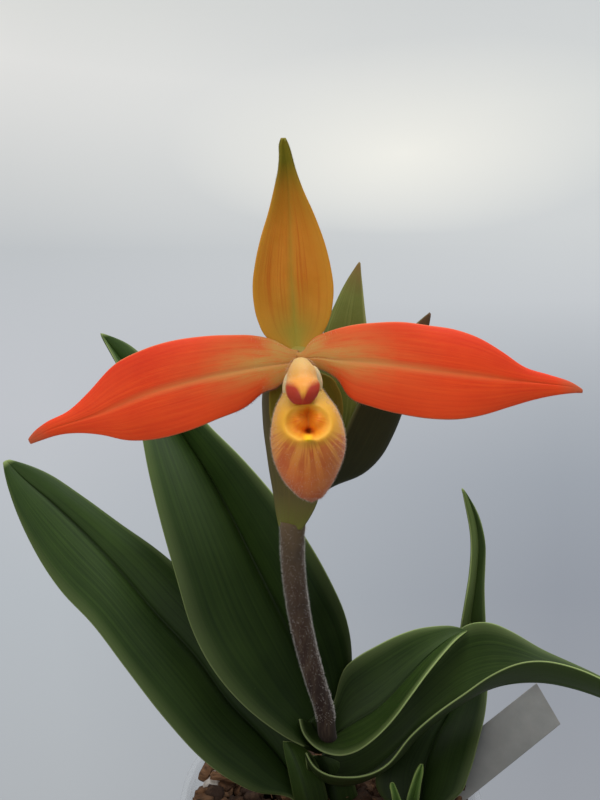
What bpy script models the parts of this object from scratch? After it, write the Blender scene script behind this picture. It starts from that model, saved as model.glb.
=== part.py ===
# Potted slipper orchid in flower: a clear tapered pot filled with bark mix,
# two leafy fans, and one upright stem that carries folded bracts and a single
# open flower with a hanging pouch.
# Units are metres in the finished object; the constants below are in mm.
# Frame: origin at the centre of the flat underside of the pot, +Z up,
# the flower faces -Y, +X is to the right of somebody who faces the flower.
import math
import bpy
import numpy as np

MM = 0.001

# ---------------------------------------------------------------- constants
# A sight fan: every outline point of the plant is stated as (u, v, d), where
# u and v are places on a 600 x 800 grid and d is the distance in mm straight
# out from the fan's eye along its axis, which dips 20 degrees.
EYE = np.array([-7.0, -161.5, 221.7])
DIP = math.radians(20.0)
REACH = 900.0

POT_HEIGHT = 68.0
POT_RIM_R = 34.0
POT_BASE_R = 25.5
POT_WALL = 1.1
MIX_TOP = 63.0
LEAF_T = 1.2

bpy.context.view_layer.update()
for stale in list(bpy.data.objects):
    bpy.data.objects.remove(stale, do_unlink=True)


# ---------------------------------------------------------------- helpers
def seen(u, v, d):
    a = (u - 300.0) / REACH
    b = (400.0 - v) / REACH
    return EYE + d * np.array([a, math.cos(DIP) + b * math.sin(DIP),
                               -math.sin(DIP) + b * math.cos(DIP)])


def smooth_path(points, count, chord=None):
    """Cubic Hermite curve through points, read at count even places."""
    p = np.asarray(points, float)
    if chord is None:
        step = np.linalg.norm(np.diff(p, axis=0), axis=1)
        chord = np.concatenate([[0.0], np.cumsum(np.maximum(step, 1e-6))])
        chord = chord / chord[-1]
    slope = np.zeros_like(p)
    h = np.diff(chord)
    inner = np.diff(p, axis=0) / h[:, None]
    slope[1:-1] = ((inner[:-1] * h[1:, None] + inner[1:] * h[:-1, None])
                   / (h[:-1] + h[1:])[:, None])
    slope[0] = 1.5 * inner[0] - 0.5 * slope[1]
    slope[-1] = 1.5 * inner[-1] - 0.5 * slope[-2]
    where = np.linspace(0.0, 1.0, count) if np.isscalar(count) else count
    k = np.clip(np.searchsorted(chord, where, side="right") - 1, 0, len(h) - 1)
    s = ((where - chord[k]) / h[k])[:, None]
    hk = h[k][:, None]
    return ((2 * s**3 - 3 * s**2 + 1) * p[k] + (s**3 - 2 * s**2 + s) * hk * slope[k]
            + (-2 * s**3 + 3 * s**2) * p[k + 1] + (s**3 - s**2) * hk * slope[k + 1])


def signed_volume(verts, faces):
    total = 0.0
    for f in faces:
        for i in range(1, len(f) - 1):
            total += np.dot(verts[f[0]], np.cross(verts[f[i]], verts[f[i + 1]]))
    return total / 6.0


def material(name, rgb, rough, metal=0.0, alpha=1.0):
    m = bpy.data.materials.new(name)
    m.use_nodes = True
    b = m.node_tree.nodes["Principled BSDF"]
    b.inputs["Base Color"].default_value = (rgb[0], rgb[1], rgb[2], 1.0)
    b.inputs["Roughness"].default_value = rough
    b.inputs["Metallic"].default_value = metal
    b.inputs["Alpha"].default_value = alpha
    m.diffuse_color = (rgb[0], rgb[1], rgb[2], 1.0)
    return m


def add_mesh(name, verts, faces, mat):
    verts = np.asarray(verts, float)
    if signed_volume(verts, faces) < 0.0:
        faces = [tuple(reversed(f)) for f in faces]
    mesh = bpy.data.meshes.new(name)
    mesh.from_pydata([tuple(v * MM) for v in verts], [], [tuple(f) for f in faces])
    mesh.validate()
    mesh.update()
    for poly in mesh.polygons:
        poly.use_smooth = True
    ob = bpy.data.objects.new(name, mesh)
    bpy.context.scene.collection.objects.link(ob)
    mesh.materials.append(mat)
    return ob


def surface(stations, na, nb, crease=True, belly=(0.0, 0.0)):
    """Mid surface of a blade. A station is (left, middle, right), each a
    (u, v, d) point, and belly bows the two halves along the normal."""
    rails = [np.array([seen(*s[k]) for s in stations]) for k in range(3)]
    spine = (rails[0] + rails[1] + rails[2]) / 3.0
    step = np.linalg.norm(np.diff(spine, axis=0), axis=1)
    chord = np.concatenate([[0.0], np.cumsum(step)])
    chord = chord / chord[-1]
    left, mid, right = [smooth_path(r, na, chord) for r in rails]
    x = np.sin(np.linspace(-1, 1, nb) * math.pi / 2)
    x = 0.6 * x + 0.4 * np.linspace(-1, 1, nb)
    grid = np.zeros((na, nb, 3))
    along = np.gradient(mid, axis=0)
    n = np.cross(right - left, along)
    n /= np.linalg.norm(n, axis=1)[:, None] + 1e-9
    width = np.linalg.norm(right - left, axis=1)
    for j, s in enumerate(x):
        a = abs(s)
        side = left if s < 0 else right
        if crease:
            base = mid * (1 - a) + side * a
            bow = 4 * a * (1 - a) * (belly[0] if s < 0 else belly[1])
        else:
            base = (mid * (1 - s * s) + left * 0.5 * s * (s - 1)
                    + right * 0.5 * s * (s + 1))
            bow = 4 * a * (1 - a) * (belly[0] if s < 0 else belly[1])
        grid[:, j] = base + n * (bow * np.minimum(width / 20.0, 1.0))[:, None]
    return grid, x


def thicken(grid, x, thick, tip_share=0.35):
    """Closed blade: the mid surface moved both ways along its normals, with
    the two faces meeting in a rounded margin."""
    na, nb = grid.shape[:2]
    ga = np.gradient(grid, axis=0)
    gb = np.gradient(grid, axis=1)
    n = np.cross(gb, ga)
    n /= np.linalg.norm(n, axis=2)[:, :, None] + 1e-12
    t = np.linspace(0, 1, na)
    lengthwise = np.clip((1 - t) * 12, 0, 1) ** 0.5
    lengthwise = tip_share + (1 - tip_share) * lengthwise
    across = np.sqrt(np.clip(1 - np.abs(x) ** 6, 0, 1))
    steps = np.linalg.norm(np.diff(grid, axis=1), axis=2)
    narrow = 0.07 * np.sum(steps, axis=1)
    half = np.minimum(0.5 * thick * lengthwise, narrow)
    h = half[:, None] * across[None, :]
    top = grid + n * h[:, :, None]
    bot = grid - n * h[:, :, None]
    verts = list(top.reshape(-1, 3))
    ti = np.arange(na * nb).reshape(na, nb)
    bi = ti.copy()
    for i in range(na):
        for j in range(1, nb - 1):
            bi[i, j] = len(verts)
            verts.append(bot[i, j])
    faces = []
    for i in range(na - 1):
        for j in range(nb - 1):
            faces.append((ti[i, j], ti[i, j + 1], ti[i + 1, j + 1], ti[i + 1, j]))
            faces.append((bi[i, j], bi[i + 1, j], bi[i + 1, j + 1], bi[i, j + 1]))
    for i, turn in ((0, True), (na - 1, False)):
        for j in range(nb - 1):
            ring = [ti[i, j], ti[i, j + 1], bi[i, j + 1], bi[i, j]]
            ring = [r for k, r in enumerate(ring) if r not in ring[:k]]
            if turn:
                ring = ring[::-1]
            faces.append(tuple(ring[::-1]) if False else tuple(ring))
    faces = [tuple(int(q) for q in f) for f in faces]
    return np.array(verts), faces


def orient(verts, faces):
    """Make neighbouring faces agree, then turn them outward."""
    import bmesh
    bm = bmesh.new()
    vs = [bm.verts.new(tuple(v)) for v in verts]
    for f in faces:
        if len(set(f)) > 2:
            try:
                bm.faces.new([vs[i] for i in f])
            except ValueError:
                pass
    bmesh.ops.recalc_face_normals(bm, faces=bm.faces)
    bm.verts.index_update()
    out = [tuple(v.index for v in f.verts) for f in bm.faces]
    bm.free()
    return out


def blade(name, stations, mat, thick=LEAF_T, na=16, nb=9, crease=True,
          belly=(0.0, 0.0)):
    grid, x = surface(stations, na, nb, crease, belly)
    verts, faces = thicken(grid, x, thick)
    faces = orient(verts, faces)
    return add_mesh(name, verts, faces, mat)


def tube(name, centres, radii, mat, rings=16, sides=14, squash=1.0):
    """Round stem along a path, closed with small domed ends."""
    path = smooth_path(np.array(centres), rings)
    rad = smooth_path(np.array([[r, 0, 0] for r in radii]), rings)[:, 0]
    tangent = np.gradient(path, axis=0)
    tangent /= np.linalg.norm(tangent, axis=1)[:, None]
    side = np.array([1.0, 0.0, 0.0])
    verts = []
    for i in range(rings):
        side = side - tangent[i] * np.dot(side, tangent[i])
        side /= np.linalg.norm(side)
        other = np.cross(tangent[i], side)
        for k in range(sides):
            a = 2 * math.pi * k / sides
            verts.append(path[i] + rad[i] * (math.cos(a) * side
                                             + squash * math.sin(a) * other))
    faces = []
    for i in range(rings - 1):
        for k in range(sides):
            k2 = (k + 1) % sides
            faces.append((i * sides + k, i * sides + k2,
                          (i + 1) * sides + k2, (i + 1) * sides + k))
    lo = len(verts)
    verts.append(path[0] - tangent[0] * rad[0] * 0.3)
    hi = len(verts)
    verts.append(path[-1] + tangent[-1] * rad[-1] * 0.3)
    for k in range(sides):
        k2 = (k + 1) % sides
        faces.append((lo, k2, k))
        faces.append((hi, (rings - 1) * sides + k, (rings - 1) * sides + k2))
    faces = orient(verts, faces)
    return add_mesh(name, verts, faces, mat)


def turned(name, profile, mat, sides=48, wobble=None):
    """Solid of revolution about Z from a closed profile of (r, z) points.
    Points with r = 0 close on the axis."""
    verts, index = [], []
    for j, (r, z) in enumerate(profile):
        if r <= 1e-9:
            index.append([len(verts)] * sides)
            verts.append((0.0, 0.0, z))
            continue
        row = []
        for k in range(sides):
            a = 2 * math.pi * k / sides
            dz, dr = wobble(a, r, z, j) if wobble else (0.0, 0.0)
            row.append(len(verts))
            verts.append(((r + dr) * math.cos(a), (r + dr) * math.sin(a), z + dz))
        index.append(row)
    faces = []
    m = len(profile)
    closed = profile[0][0] > 1e-9
    for j in range(m if closed else m - 1):
        a, b = index[j], index[(j + 1) % m]
        for k in range(sides):
            k2 = (k + 1) % sides
            ring = [a[k], a[k2], b[k2], b[k]]
            ring = [q for i, q in enumerate(ring) if q not in ring[:i]]
            if len(ring) > 2:
                faces.append(tuple(ring))
    faces = orient(verts, faces)
    return add_mesh(name, np.array(verts), faces, mat)


# ---------------------------------------------------------------- materials
leaf_green = material("leaf_green", (0.030, 0.075, 0.018), 0.38)
shoot_green = material("shoot_green", (0.075, 0.16, 0.03), 0.40)
stem_skin = material("stem_skin", (0.10, 0.055, 0.05), 0.6)
bract_olive = material("bract_olive", (0.10, 0.10, 0.03), 0.5)
petal_orange = material("petal_orange", (0.72, 0.085, 0.02), 0.5)
sepal_ochre = material("sepal_ochre", (0.60, 0.25, 0.045), 0.5)
pouch_peach = material("pouch_peach", (0.70, 0.25, 0.10), 0.45)
column_yellow = material("column_yellow", (0.75, 0.33, 0.05), 0.45)
ovary_green = material("ovary_green", (0.20, 0.13, 0.06), 0.6)
bark_brown = material("bark_brown", (0.17, 0.085, 0.04), 0.9)
pumice_white = material("pumice_white", (0.60, 0.55, 0.50), 0.85)
clear_plastic = material("clear_plastic", (0.75, 0.78, 0.80), 0.15, alpha=0.35)
label_white = material("label_white", (0.75, 0.75, 0.74), 0.4)
rhizome_brown = material("rhizome_brown", (0.12, 0.09, 0.04), 0.8)

# ---------------------------------------------------------------- pot
pot_profile = [
    (0.0, 0.0), (POT_BASE_R - 1.2, 0.0), (POT_BASE_R, 1.0),
    (POT_BASE_R + 0.86 * (POT_RIM_R - 1.6 - POT_BASE_R), 58.0),
    (POT_RIM_R - 1.3, 59.2), (POT_RIM_R - 0.9, 66.4),
    (POT_RIM_R, 66.9), (POT_RIM_R, POT_HEIGHT - 0.4), (POT_RIM_R - 0.5, POT_HEIGHT),
    (POT_RIM_R - 1.5, POT_HEIGHT), (POT_RIM_R - 1.9, 66.8),
    (POT_RIM_R - 2.4, 59.6),
    (POT_BASE_R - POT_WALL + 0.86 * (POT_RIM_R - 1.6 - POT_BASE_R), 58.2),
    (POT_BASE_R - POT_WALL, 2.0), (POT_BASE_R - 2.0, 1.3), (0.0, 1.3),
]
pot = turned("pot", pot_profile, clear_plastic, sides=64)

# seven drain holes through the floor, clear of its centre
cut_verts, cut_faces = [], []
for h in range(6):
    ha = 2 * math.pi * h / 6 + 0.26
    cx, cy = 14.0 * math.cos(ha), 14.0 * math.sin(ha)
    base = len(cut_verts)
    for z in (-2.0, 4.0):
        for k in range(16):
            a = 2 * math.pi * k / 16
            cut_verts.append((cx + 3.0 * math.cos(a), cy + 3.0 * math.sin(a), z))
    for k in range(16):
        k2 = (k + 1) % 16
        cut_faces.append((base + k, base + k2, base + 16 + k2, base + 16 + k))
    cut_faces.append(tuple(base + k for k in reversed(range(16))))
    cut_faces.append(tuple(base + 16 + k for k in range(16)))
cutter = add_mesh("drain_cutter", np.array(cut_verts), cut_faces, clear_plastic)
cutter.hide_render = True
cutter.display_type = "WIRE"
hole = pot.modifiers.new("drain", "BOOLEAN")
hole.operation = "DIFFERENCE"
hole.object = cutter
hole.solver = "EXACT"


# ---------------------------------------------------------------- bark mix
def mix_wobble(a, r, z, j):
    if z < 60.0 or r > 29.0 or r < 12.0:
        return 0.0, 0.0
    return (0.7 * math.sin(5 * a + 0.7 * r) + 0.5 * math.sin(9 * a - 1.1 * r), 0.0)


gap = 0.35
slope = 0.86 * (POT_RIM_R - 1.6 - POT_BASE_R) / 57.0
mix_profile = [
    (0.0, 1.3 + gap), (POT_BASE_R - 2.6, 1.3 + gap),
    (POT_BASE_R - POT_WALL - gap - 0.3, 3.2),
    (POT_BASE_R - POT_WALL - gap + slope * 55.0, 56.6),
    (POT_RIM_R - 2.4 - gap - 1.2, 60.0),
    (POT_RIM_R - 3.6, 61.6), (27.0, 62.9), (22.0, 63.4), (16.0, 63.8), (10.4, 64.2),
    (9.2, 63.2), (8.6, 53.0), (6.0, 51.6), (0.0, 51.6),
]
turned("potting_mix", mix_profile, bark_brown, sides=40, wobble=mix_wobble)

rhizome_profile = [
    (0.0, 52.0), (5.6, 52.0), (8.0, 53.6), (8.2, 58.0), (7.2, 61.6), (5.0, 63.4),
    (0.0, 64.0),
]
turned("rhizome", rhizome_profile, rhizome_brown, sides=18)


def lump(name, centre, size, turn, mat, seed, rows=6, sides=10):
    """Irregular rounded chip: an ellipsoid with a few slow bumps."""
    verts, index = [], []
    ca, sa = math.cos(turn), math.sin(turn)
    for i in range(rows + 1):
        th = math.pi * i / rows
        ring = []
        for k in range(sides):
            ph = 2 * math.pi * k / sides
            if i in (0, rows) and k:
                ring.append(ring[0])
                continue
            bump = 1 + 0.13 * math.sin(3 * ph + seed) * math.sin(th) \
                + 0.10 * math.sin(2 * th + 2 * ph + 1.7 * seed) * math.sin(th)
            q = np.array([math.sin(th) * math.cos(ph), math.sin(th) * math.sin(ph),
                          math.cos(th)]) * bump
            q = np.sign(q) * np.abs(q) ** 0.82 * np.array(size)
            ring.append(len(verts))
            verts.append((centre[0] + ca * q[0] - sa * q[1],
                          centre[1] + sa * q[0] + ca * q[1], centre[2] + q[2]))
        index.append(ring)
    faces = []
    for i in range(rows):
        for k in range(sides):
            k2 = (k + 1) % sides
            ring = [index[i][k], index[i][k2], index[i + 1][k2], index[i + 1][k]]
            ring = [w for m, w in enumerate(ring) if w not in ring[:m]]
            if len(ring) > 2:
                faces.append(tuple(ring))
    faces = orient(verts, faces)
    return add_mesh(name, np.array(verts), faces, mat)


chips = [("bark_chip_1", (-25.0, -6.0, 66.7), (5.0, 3.2, 1.8), 0.5, bark_brown),
         ("bark_chip_2", (-16.0, -17.0, 67.3), (4.6, 3.4, 1.9), 2.1, bark_brown),
         ("bark_chip_3", (2.0, -23.0, 67.1), (5.4, 3.0, 1.8), 0.1, bark_brown),
         ("bark_chip_4", (14.0, 19.0, 67.2), (4.6, 3.4, 1.9), 1.2, bark_brown),
         ("bark_chip_5", (-12.0, 20.0, 67.2), (4.8, 3.0, 1.8), 2.7, bark_brown),
         ("pumice_1", (-27.2, 5.5, 66.9), (2.6, 3.0, 2.0), 0.8, pumice_white),
         ("pumice_2", (12.5, -18.0, 67.4), (2.8, 2.4, 2.0), 0.3, pumice_white)]
for i, (nm, c, s, tn, mt) in enumerate(chips):
    lump(nm, c, s, tn, mt, 1.3 * i + 0.4)


# ---------------------------------------------------------------- leaves
LEAF_LEFT_LOW = [
    ((300, 806, 200), (309, 806, 203.5), (313, 798, 203.5)),
    ((286, 795.5, 199), (301, 790, 203), (305, 775, 202)),
    ((262, 794, 198), (289, 770, 203.5), (303.5, 746, 202.5)),
    ((240, 785.5, 197.5), (268, 743, 204.5), (292, 712, 205)),
    ((205, 762, 197.5), (230, 704, 206), (262, 670, 208.5)),
    ((164, 718, 198.5), (194, 655, 208), (230, 622, 210.5)),
    ((126, 669, 200.5), (155, 613, 209.5), (195, 583, 212)),
    ((92, 624, 203), (117, 568, 211), (158, 550, 214)),
    ((60, 590, 206), (82, 531, 212.5), (122, 525, 215.5)),
    ((33, 548, 209), (50, 501, 213.5), (82, 496, 216)),
    ((13, 503, 212), (25, 480, 214.5), (45, 472, 216)),
    ((4.5, 474, 214), (12, 467, 215), (22, 463, 215.5)),
    ((3, 463, 215), (6, 460.5, 215.3), (10, 459.8, 215.4)),
]
LEAF_LEFT_TALL = [
    ((304, 746, 196.6), (318, 754, 208), (338, 737, 209.4)),
    ((283, 736, 195), (319, 717, 208), (349, 693, 209)),
    ((247, 709, 195), (308, 680, 207), (352, 655, 208)),
    ((213, 670, 196), (294, 642, 206), (346, 617, 202)),
    ((192, 630, 198), (276, 604, 205.5), (332, 584, 196)),
    ((176, 577, 200), (254, 560, 206.8), (308, 541, 195)),
    ((160, 520, 204), (230, 512, 209.8), (275, 496, 198.5)),
    ((148, 470, 209), (206, 469, 214.2), (243, 459, 203.5)),
    ((139, 422, 216), (180, 431, 220.6), (208, 424, 211)),
    ((128, 388, 225), (150, 397, 228.4), (175, 386, 220.5)),
    ((113, 356, 234), (122, 363, 236.4), (145, 357, 231.5)),
    ((103, 338, 240), (105, 340, 240.6), (116, 338, 239.5)),
    ((100.5, 333.5, 241), (101.2, 333.8, 241.2), (103, 333.6, 241)),
]
LEAF_RIGHT_INNER = [
    ((319, 713, 203), (309, 722, 199.6), (299.4, 719, 197)),
    ((327, 710, 203.8), (319, 736, 200.6), (304, 735, 195.7)),
    ((334, 702, 204.3), (333, 738, 203), (318, 749.5, 194.5)),
    ((338, 685, 204.8), (343, 731, 203), (335, 755.5, 193.5)),
    ((344, 669, 205), (357, 722, 203), (353, 753, 192.5)),
    ((357, 657, 205), (374, 712, 202.5), (372, 741, 192)),
    ((376, 646, 205.5), (391, 697, 202.5), (392, 721, 192.5)),
    ((396, 636, 206), (407, 680, 203), (410, 697, 194)),
    ((416, 629, 207), (424, 662, 204), (426, 675, 196.5)),
    ((436, 626, 208), (441, 647, 205.5), (442, 655, 200)),
    ((453, 626, 208.5), (456, 636.5, 207), (457, 638.5, 204)),
    ((464, 629, 208.5), (465, 631.5, 208.2), (465.5, 632, 207)),
    ((466.8, 630.5, 208.6), (467, 631, 208.6), (467.2, 631.3, 208.5)),
]
LEAF_RIGHT_ARCHING = [
    ((318, 786, 209.5), (322, 793, 206.5), (310, 785, 201.5)),
    ((322, 762, 210.5), (321, 783, 205), (306.5, 766, 197)),
    ((326, 742, 211), (320, 774, 204.5), (305.5, 750, 195.2)),
    ((336, 737, 211.5), (327, 780, 203.7), (310, 763, 194)),
    ((350, 728, 212), (341, 783, 203), (326, 774.5, 192.8)),
    ((366, 717, 212), (358, 780, 202.6), (348, 777.3, 192)),
    ((385, 703, 212), (378, 768, 202.4), (368, 775, 191.5)),
    ((403, 688, 211.5), (398, 750, 202.4), (388, 764.5, 191.5)),
    ((422, 668, 211), (418, 730, 202.4), (409, 738, 192.5)),
    ((444, 645, 211.6), (441, 712, 202.2), (436, 714, 193)),
    ((466, 625, 210.8), (466, 697, 201), (465, 693.5, 193)),
    ((490, 622.5, 206.5), (490, 686, 199.5), (491, 675.5, 192)),
    ((514, 632.5, 203), (516, 680, 197), (518, 663.5, 190.5)),
    ((540, 648, 200), (543, 679, 194.5), (544, 661, 189)),
    ((568, 661, 197), (571, 684, 192), (573, 667, 187)),
    ((600, 676, 194), (602, 694, 189.5), (602, 679, 184.5)),
    ((640, 700, 189), (643, 713, 185.5), (641, 702, 181.5)),
    ((680, 727, 184.5), (683, 736, 182), (680, 730, 179)),
    ((714, 753, 180.5), (717, 758, 179), (713, 756, 177)),
    ((734, 770, 177), (736, 772, 176.5), (733, 772, 176.3)),
]
LEAF_RIGHT_BACK = [
    ((402, 811, 201.4), (420, 811, 200.8), (438, 810, 197.4)),
    ((384, 800, 204), (421, 799, 202.2), (458, 797, 196.8)),
    ((375, 780, 205.4), (424, 775, 204.6), (468, 777, 197.8)),
    ((394, 748, 208.3), (435, 741, 209.5), (478.5, 742, 201.2)),
    ((427, 714, 213), (452, 708, 215.6), (486, 708, 209)),
    ((447, 684, 216.8), (463, 676, 219.5), (488, 678, 214)),
    ((457, 650, 217.6), (468, 644, 220), (487, 648, 216.2)),
    ((462, 621, 216.5), (470, 615, 219.8), (485.5, 618, 216.9)),
    ((466, 598, 215.5), (473, 592, 219.3), (484.5, 588, 217.5)),
    ((470, 572, 216), (476, 566, 219.5), (485.5, 560, 218)),
    ((471.5, 547, 216.5), (477, 543, 219), (485.5, 543, 218)),
    ((469.5, 524, 217), (474.5, 521, 219), (481, 522, 218)),
    ((465.5, 505, 217), (469.5, 504, 218.5), (474.5, 506, 218)),
    ((462.8, 492, 217.5), (464.5, 492, 218), (466.5, 493.5, 218)),
    ((461.8, 488.5, 217.8), (462.2, 488.5, 218), (462.8, 489, 218)),
]
SHOOT_SHORT = [
    ((396, 812, 194), (401, 812, 195.0), (406, 812, 194.4)),
    ((393, 802, 194), (398, 802, 195.2), (402, 803, 194.6)),
    ((391.2, 791, 194), (394.5, 791, 195.0), (397.8, 792, 194.7)),
    ((390.2, 785.5, 194.3), (392.8, 785.2, 194.9), (395.4, 786.2, 194.7)),
    ((390.6, 782.6, 194.6), (392.3, 782.2, 194.9), (394.0, 783.0, 194.8)),
]
SHOOT_LONG = [
    ((406, 813, 196), (411, 814, 197.6), (418, 813, 196.5)),
    ((407, 799, 196), (413, 799, 197.8), (419, 799, 196.6)),
    ((411.5, 784, 197), (416, 784, 198.6), (421, 784, 197.8)),
    ((416.5, 771, 197.6), (419.5, 771, 199.2), (423, 771, 198.4)),
    ((420.6, 764, 198.2), (421.6, 764, 199), (423, 764, 198.8)),
]
blade("leaf_left_low", LEAF_LEFT_LOW, leaf_green, na=18, belly=(1.0, 1.0))
blade("leaf_left_tall", LEAF_LEFT_TALL, leaf_green, na=18, belly=(1.2, 1.2))
blade("leaf_right_inner", LEAF_RIGHT_INNER, leaf_green, na=16, belly=(-1.0, -0.6))
blade("leaf_right_arching", LEAF_RIGHT_ARCHING, leaf_green, na=24, belly=(-0.8, -0.8))
blade("leaf_right_back", LEAF_RIGHT_BACK, leaf_green, na=18, belly=(0.6, 0.6))
blade("shoot_leaf_short", SHOOT_SHORT, shoot_green, thick=0.6, na=7, nb=7)
blade("shoot_leaf_long", SHOOT_LONG, shoot_green, thick=0.9, na=7, nb=7)

# ---------------------------------------------------------------- stem
STEM = [(326.5, 729, 199.2), (325.5, 717, 198), (315, 680, 192.5),
        (304.5, 640, 187), (297, 600, 181), (293, 560, 175), (292.5, 535, 171.2)]
tube("flower_stem", [seen(*p) for p in STEM],
     [2.1, 2.2, 2.25, 2.3, 2.3, 2.3, 2.35], stem_skin, rings=14, sides=14)

OVARY = [(294, 518, 170.4), (291, 490, 170.6), (291, 450, 170.4), (293, 415, 168.6),
         (297, 388, 166.2), (299, 375, 164.4)]
tube("ovary", [seen(*p) for p in OVARY], [1.3, 1.7, 1.9, 2.0, 1.9, 1.6],
     ovary_green, rings=12, sides=12)
RACHIS = [(308, 506, 178.5), (315, 490, 178.7), (323, 472, 178.8), (331, 454, 178.6)]
tube("rachis_tip", [seen(*p) for p in RACHIS], [1.0, 1.1, 1.1, 0.7],
     stem_skin, rings=7, sides=10)
BUD = [(347, 438, 178.3), (349, 412, 178.3), (350, 385, 178.3), (351, 358, 178.4),
       (352, 340, 178.5)]
tube("flower_bud", [seen(*p) for p in BUD], [0.5, 1.4, 1.6, 1.1, 0.4],
     shoot_green, rings=10, sides=12)

# ---------------------------------------------------------------- bracts
# A folded bract: front margin, keel, back margin.
BRACT_LOWER = [
    ((302, 529.5, 168.5), (281.5, 526, 170.6), (296, 526, 173.4)),
    ((311, 516, 166.6), (278.5, 511, 170.6), (302, 511, 174.8)),
    ((319, 497, 165.6), (275.5, 491, 170.8), (306, 491, 175.4)),
    ((320, 472, 165.2), (271.8, 470, 171), (306, 470, 175.6)),
    ((312, 450, 165), (269, 450, 171), (302, 450, 175.4)),
    ((300, 430, 165), (266.3, 430, 171), (296, 430, 174.8)),
    ((286, 411, 165.6), (265, 410, 170.6), (285, 411, 173.6)),
    ((274, 395, 167), (264.6, 393, 170), (274, 396, 172)),
    ((268, 381, 168.6), (265.6, 380, 169.6), (268, 381, 170.4)),
]
BRACT_RIGHT = [
    ((300, 527, 175.4), (309, 523, 178.4), (303, 517, 180.4)),
    ((311, 508, 175.6), (325, 500, 179), (314, 496, 181.6)),
    ((323, 488, 174.8), (343, 487.5, 179), (324, 476, 182.4)),
    ((333, 462, 174.2), (362, 475, 179), (334, 452, 182.8)),
    ((343, 436, 174), (379, 457, 179), (345, 428, 182.8)),
    ((354, 410, 174), (392, 434, 179), (357, 404, 182.6)),
    ((367, 385, 174.4), (402, 409, 179), (371, 381, 182.2)),
    ((383, 360, 175.2), (411, 380, 179), (387, 358, 181.6)),
    ((402, 337, 176.6), (420, 350, 179.2), (405, 336, 181)),
    ((421, 319, 178.4), (428, 325, 179.6), (422, 318.5, 180.4)),
    ((428.6, 313, 179.6), (430.4, 313.6, 180), (429.6, 312.2, 180)),
]
BRACT_UPPER = [
    ((344, 447, 175.8), (331, 440, 178.2), (344, 447, 180.6)),
    ((356, 430, 175), (326, 420, 178.4), (355, 430, 181.2)),
    ((364, 402, 174.8), (322.5, 390, 178.6), (362, 402, 181.4)),
    ((368, 368, 175.2), (322.5, 358, 178.8), (366, 368, 180.8)),
    ((368, 338, 175.8), (327, 330, 179), (366, 338, 180.6)),
    ((365, 310, 176.8), (337, 306, 179.2), (363.6, 310, 180.4)),
    ((362.6, 286, 178), (348, 283, 179.4), (361.6, 286, 180)),
    ((361, 270, 178.8), (356.4, 268, 179.4), (360.6, 270, 179.7)),
    ((360.6, 263, 179.2), (359.6, 262, 179.4), (360.4, 263, 179.5)),
]
blade("bract_lower", BRACT_LOWER, bract_olive, thick=0.7, na=12, nb=9, crease=False)
blade("bract_right", BRACT_RIGHT, bract_olive, thick=0.7, na=13, nb=9, crease=False)
blade("bract_upper", BRACT_UPPER, shoot_green, thick=0.7, na=11, nb=9, crease=False)

# ---------------------------------------------------------------- flower
PETAL_LEFT = [
    ((285, 370, 159.2), (287, 361.5, 158.9), (289, 353, 159.2)),
    ((277, 381, 158.9), (273, 364, 158), (272, 339.5, 158.7)),
    ((264, 392, 158.4), (258, 367.5, 157.2), (255, 335.6, 158)),
    ((246, 407, 157.6), (236, 371.5, 156.4), (232, 335, 157.2)),
    ((218, 419, 156.8), (208, 377.5, 155.7), (204, 336, 156.5)),
    ((188, 431, 156.3), (176, 385.5, 155.2), (170, 341, 156)),
    ((156, 439.2, 156), (146, 394.5, 155), (140, 351, 155.8)),
    ((127, 440.4, 156), (118, 406, 155), (112, 366.5, 155.8)),
    ((103, 435, 156.1), (95, 415.5, 155.3), (88, 392.5, 156)),
    ((80, 432.8, 156.4), (72, 422.5, 155.8), (68, 411.5, 156.3)),
    ((58, 434.5, 156.8), (51, 429.3, 156.4), (47, 422, 156.8)),
    ((41, 440, 157.3), (37, 436.5, 157), (34, 432, 157.3)),
    ((31, 444, 157.7), (29.2, 441, 157.5), (28.8, 439, 157.7)),
]
PETAL_RIGHT = [
    ((302, 353, 159.2), (305, 358, 158.9), (309, 364, 159.2)),
    ((311, 340, 158.8), (317, 357.5, 158.1), (321, 368.5, 158.8)),
    ((328, 331.5, 158.2), (335, 360, 157.3), (337, 378, 158.2)),
    ((350, 325.5, 157.5), (356, 361.5, 156.5), (349, 397, 157.5)),
    ((376, 322.7, 156.9), (380, 363.5, 155.9), (374, 407.5, 156.8)),
    ((402, 322, 156.5), (406, 366.8, 155.4), (402, 414.5, 156.4)),
    ((428, 325.2, 156.2), (433, 370.5, 155.1), (430, 418.8, 156.1)),
    ((455, 329.2, 156), (460, 374, 155), (459, 419.3, 156)),
    ((480, 338.3, 156), (485, 377, 155.1), (485, 414.7, 156)),
    ((503, 352.5, 156.2), (508, 380, 155.5), (510, 407, 156.2)),
    ((524, 367.3, 156.6), (530, 382.3, 156), (534, 399.8, 156.6)),
    ((549, 375.2, 157.1), (553, 384.8, 156.7), (557, 395, 157.1)),
    ((573, 383.5, 157.6), (574, 388, 157.4), (576, 393, 157.6)),
    ((582, 389.5, 157.9), (582.4, 391, 157.8), (582, 393, 157.9)),
]
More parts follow.
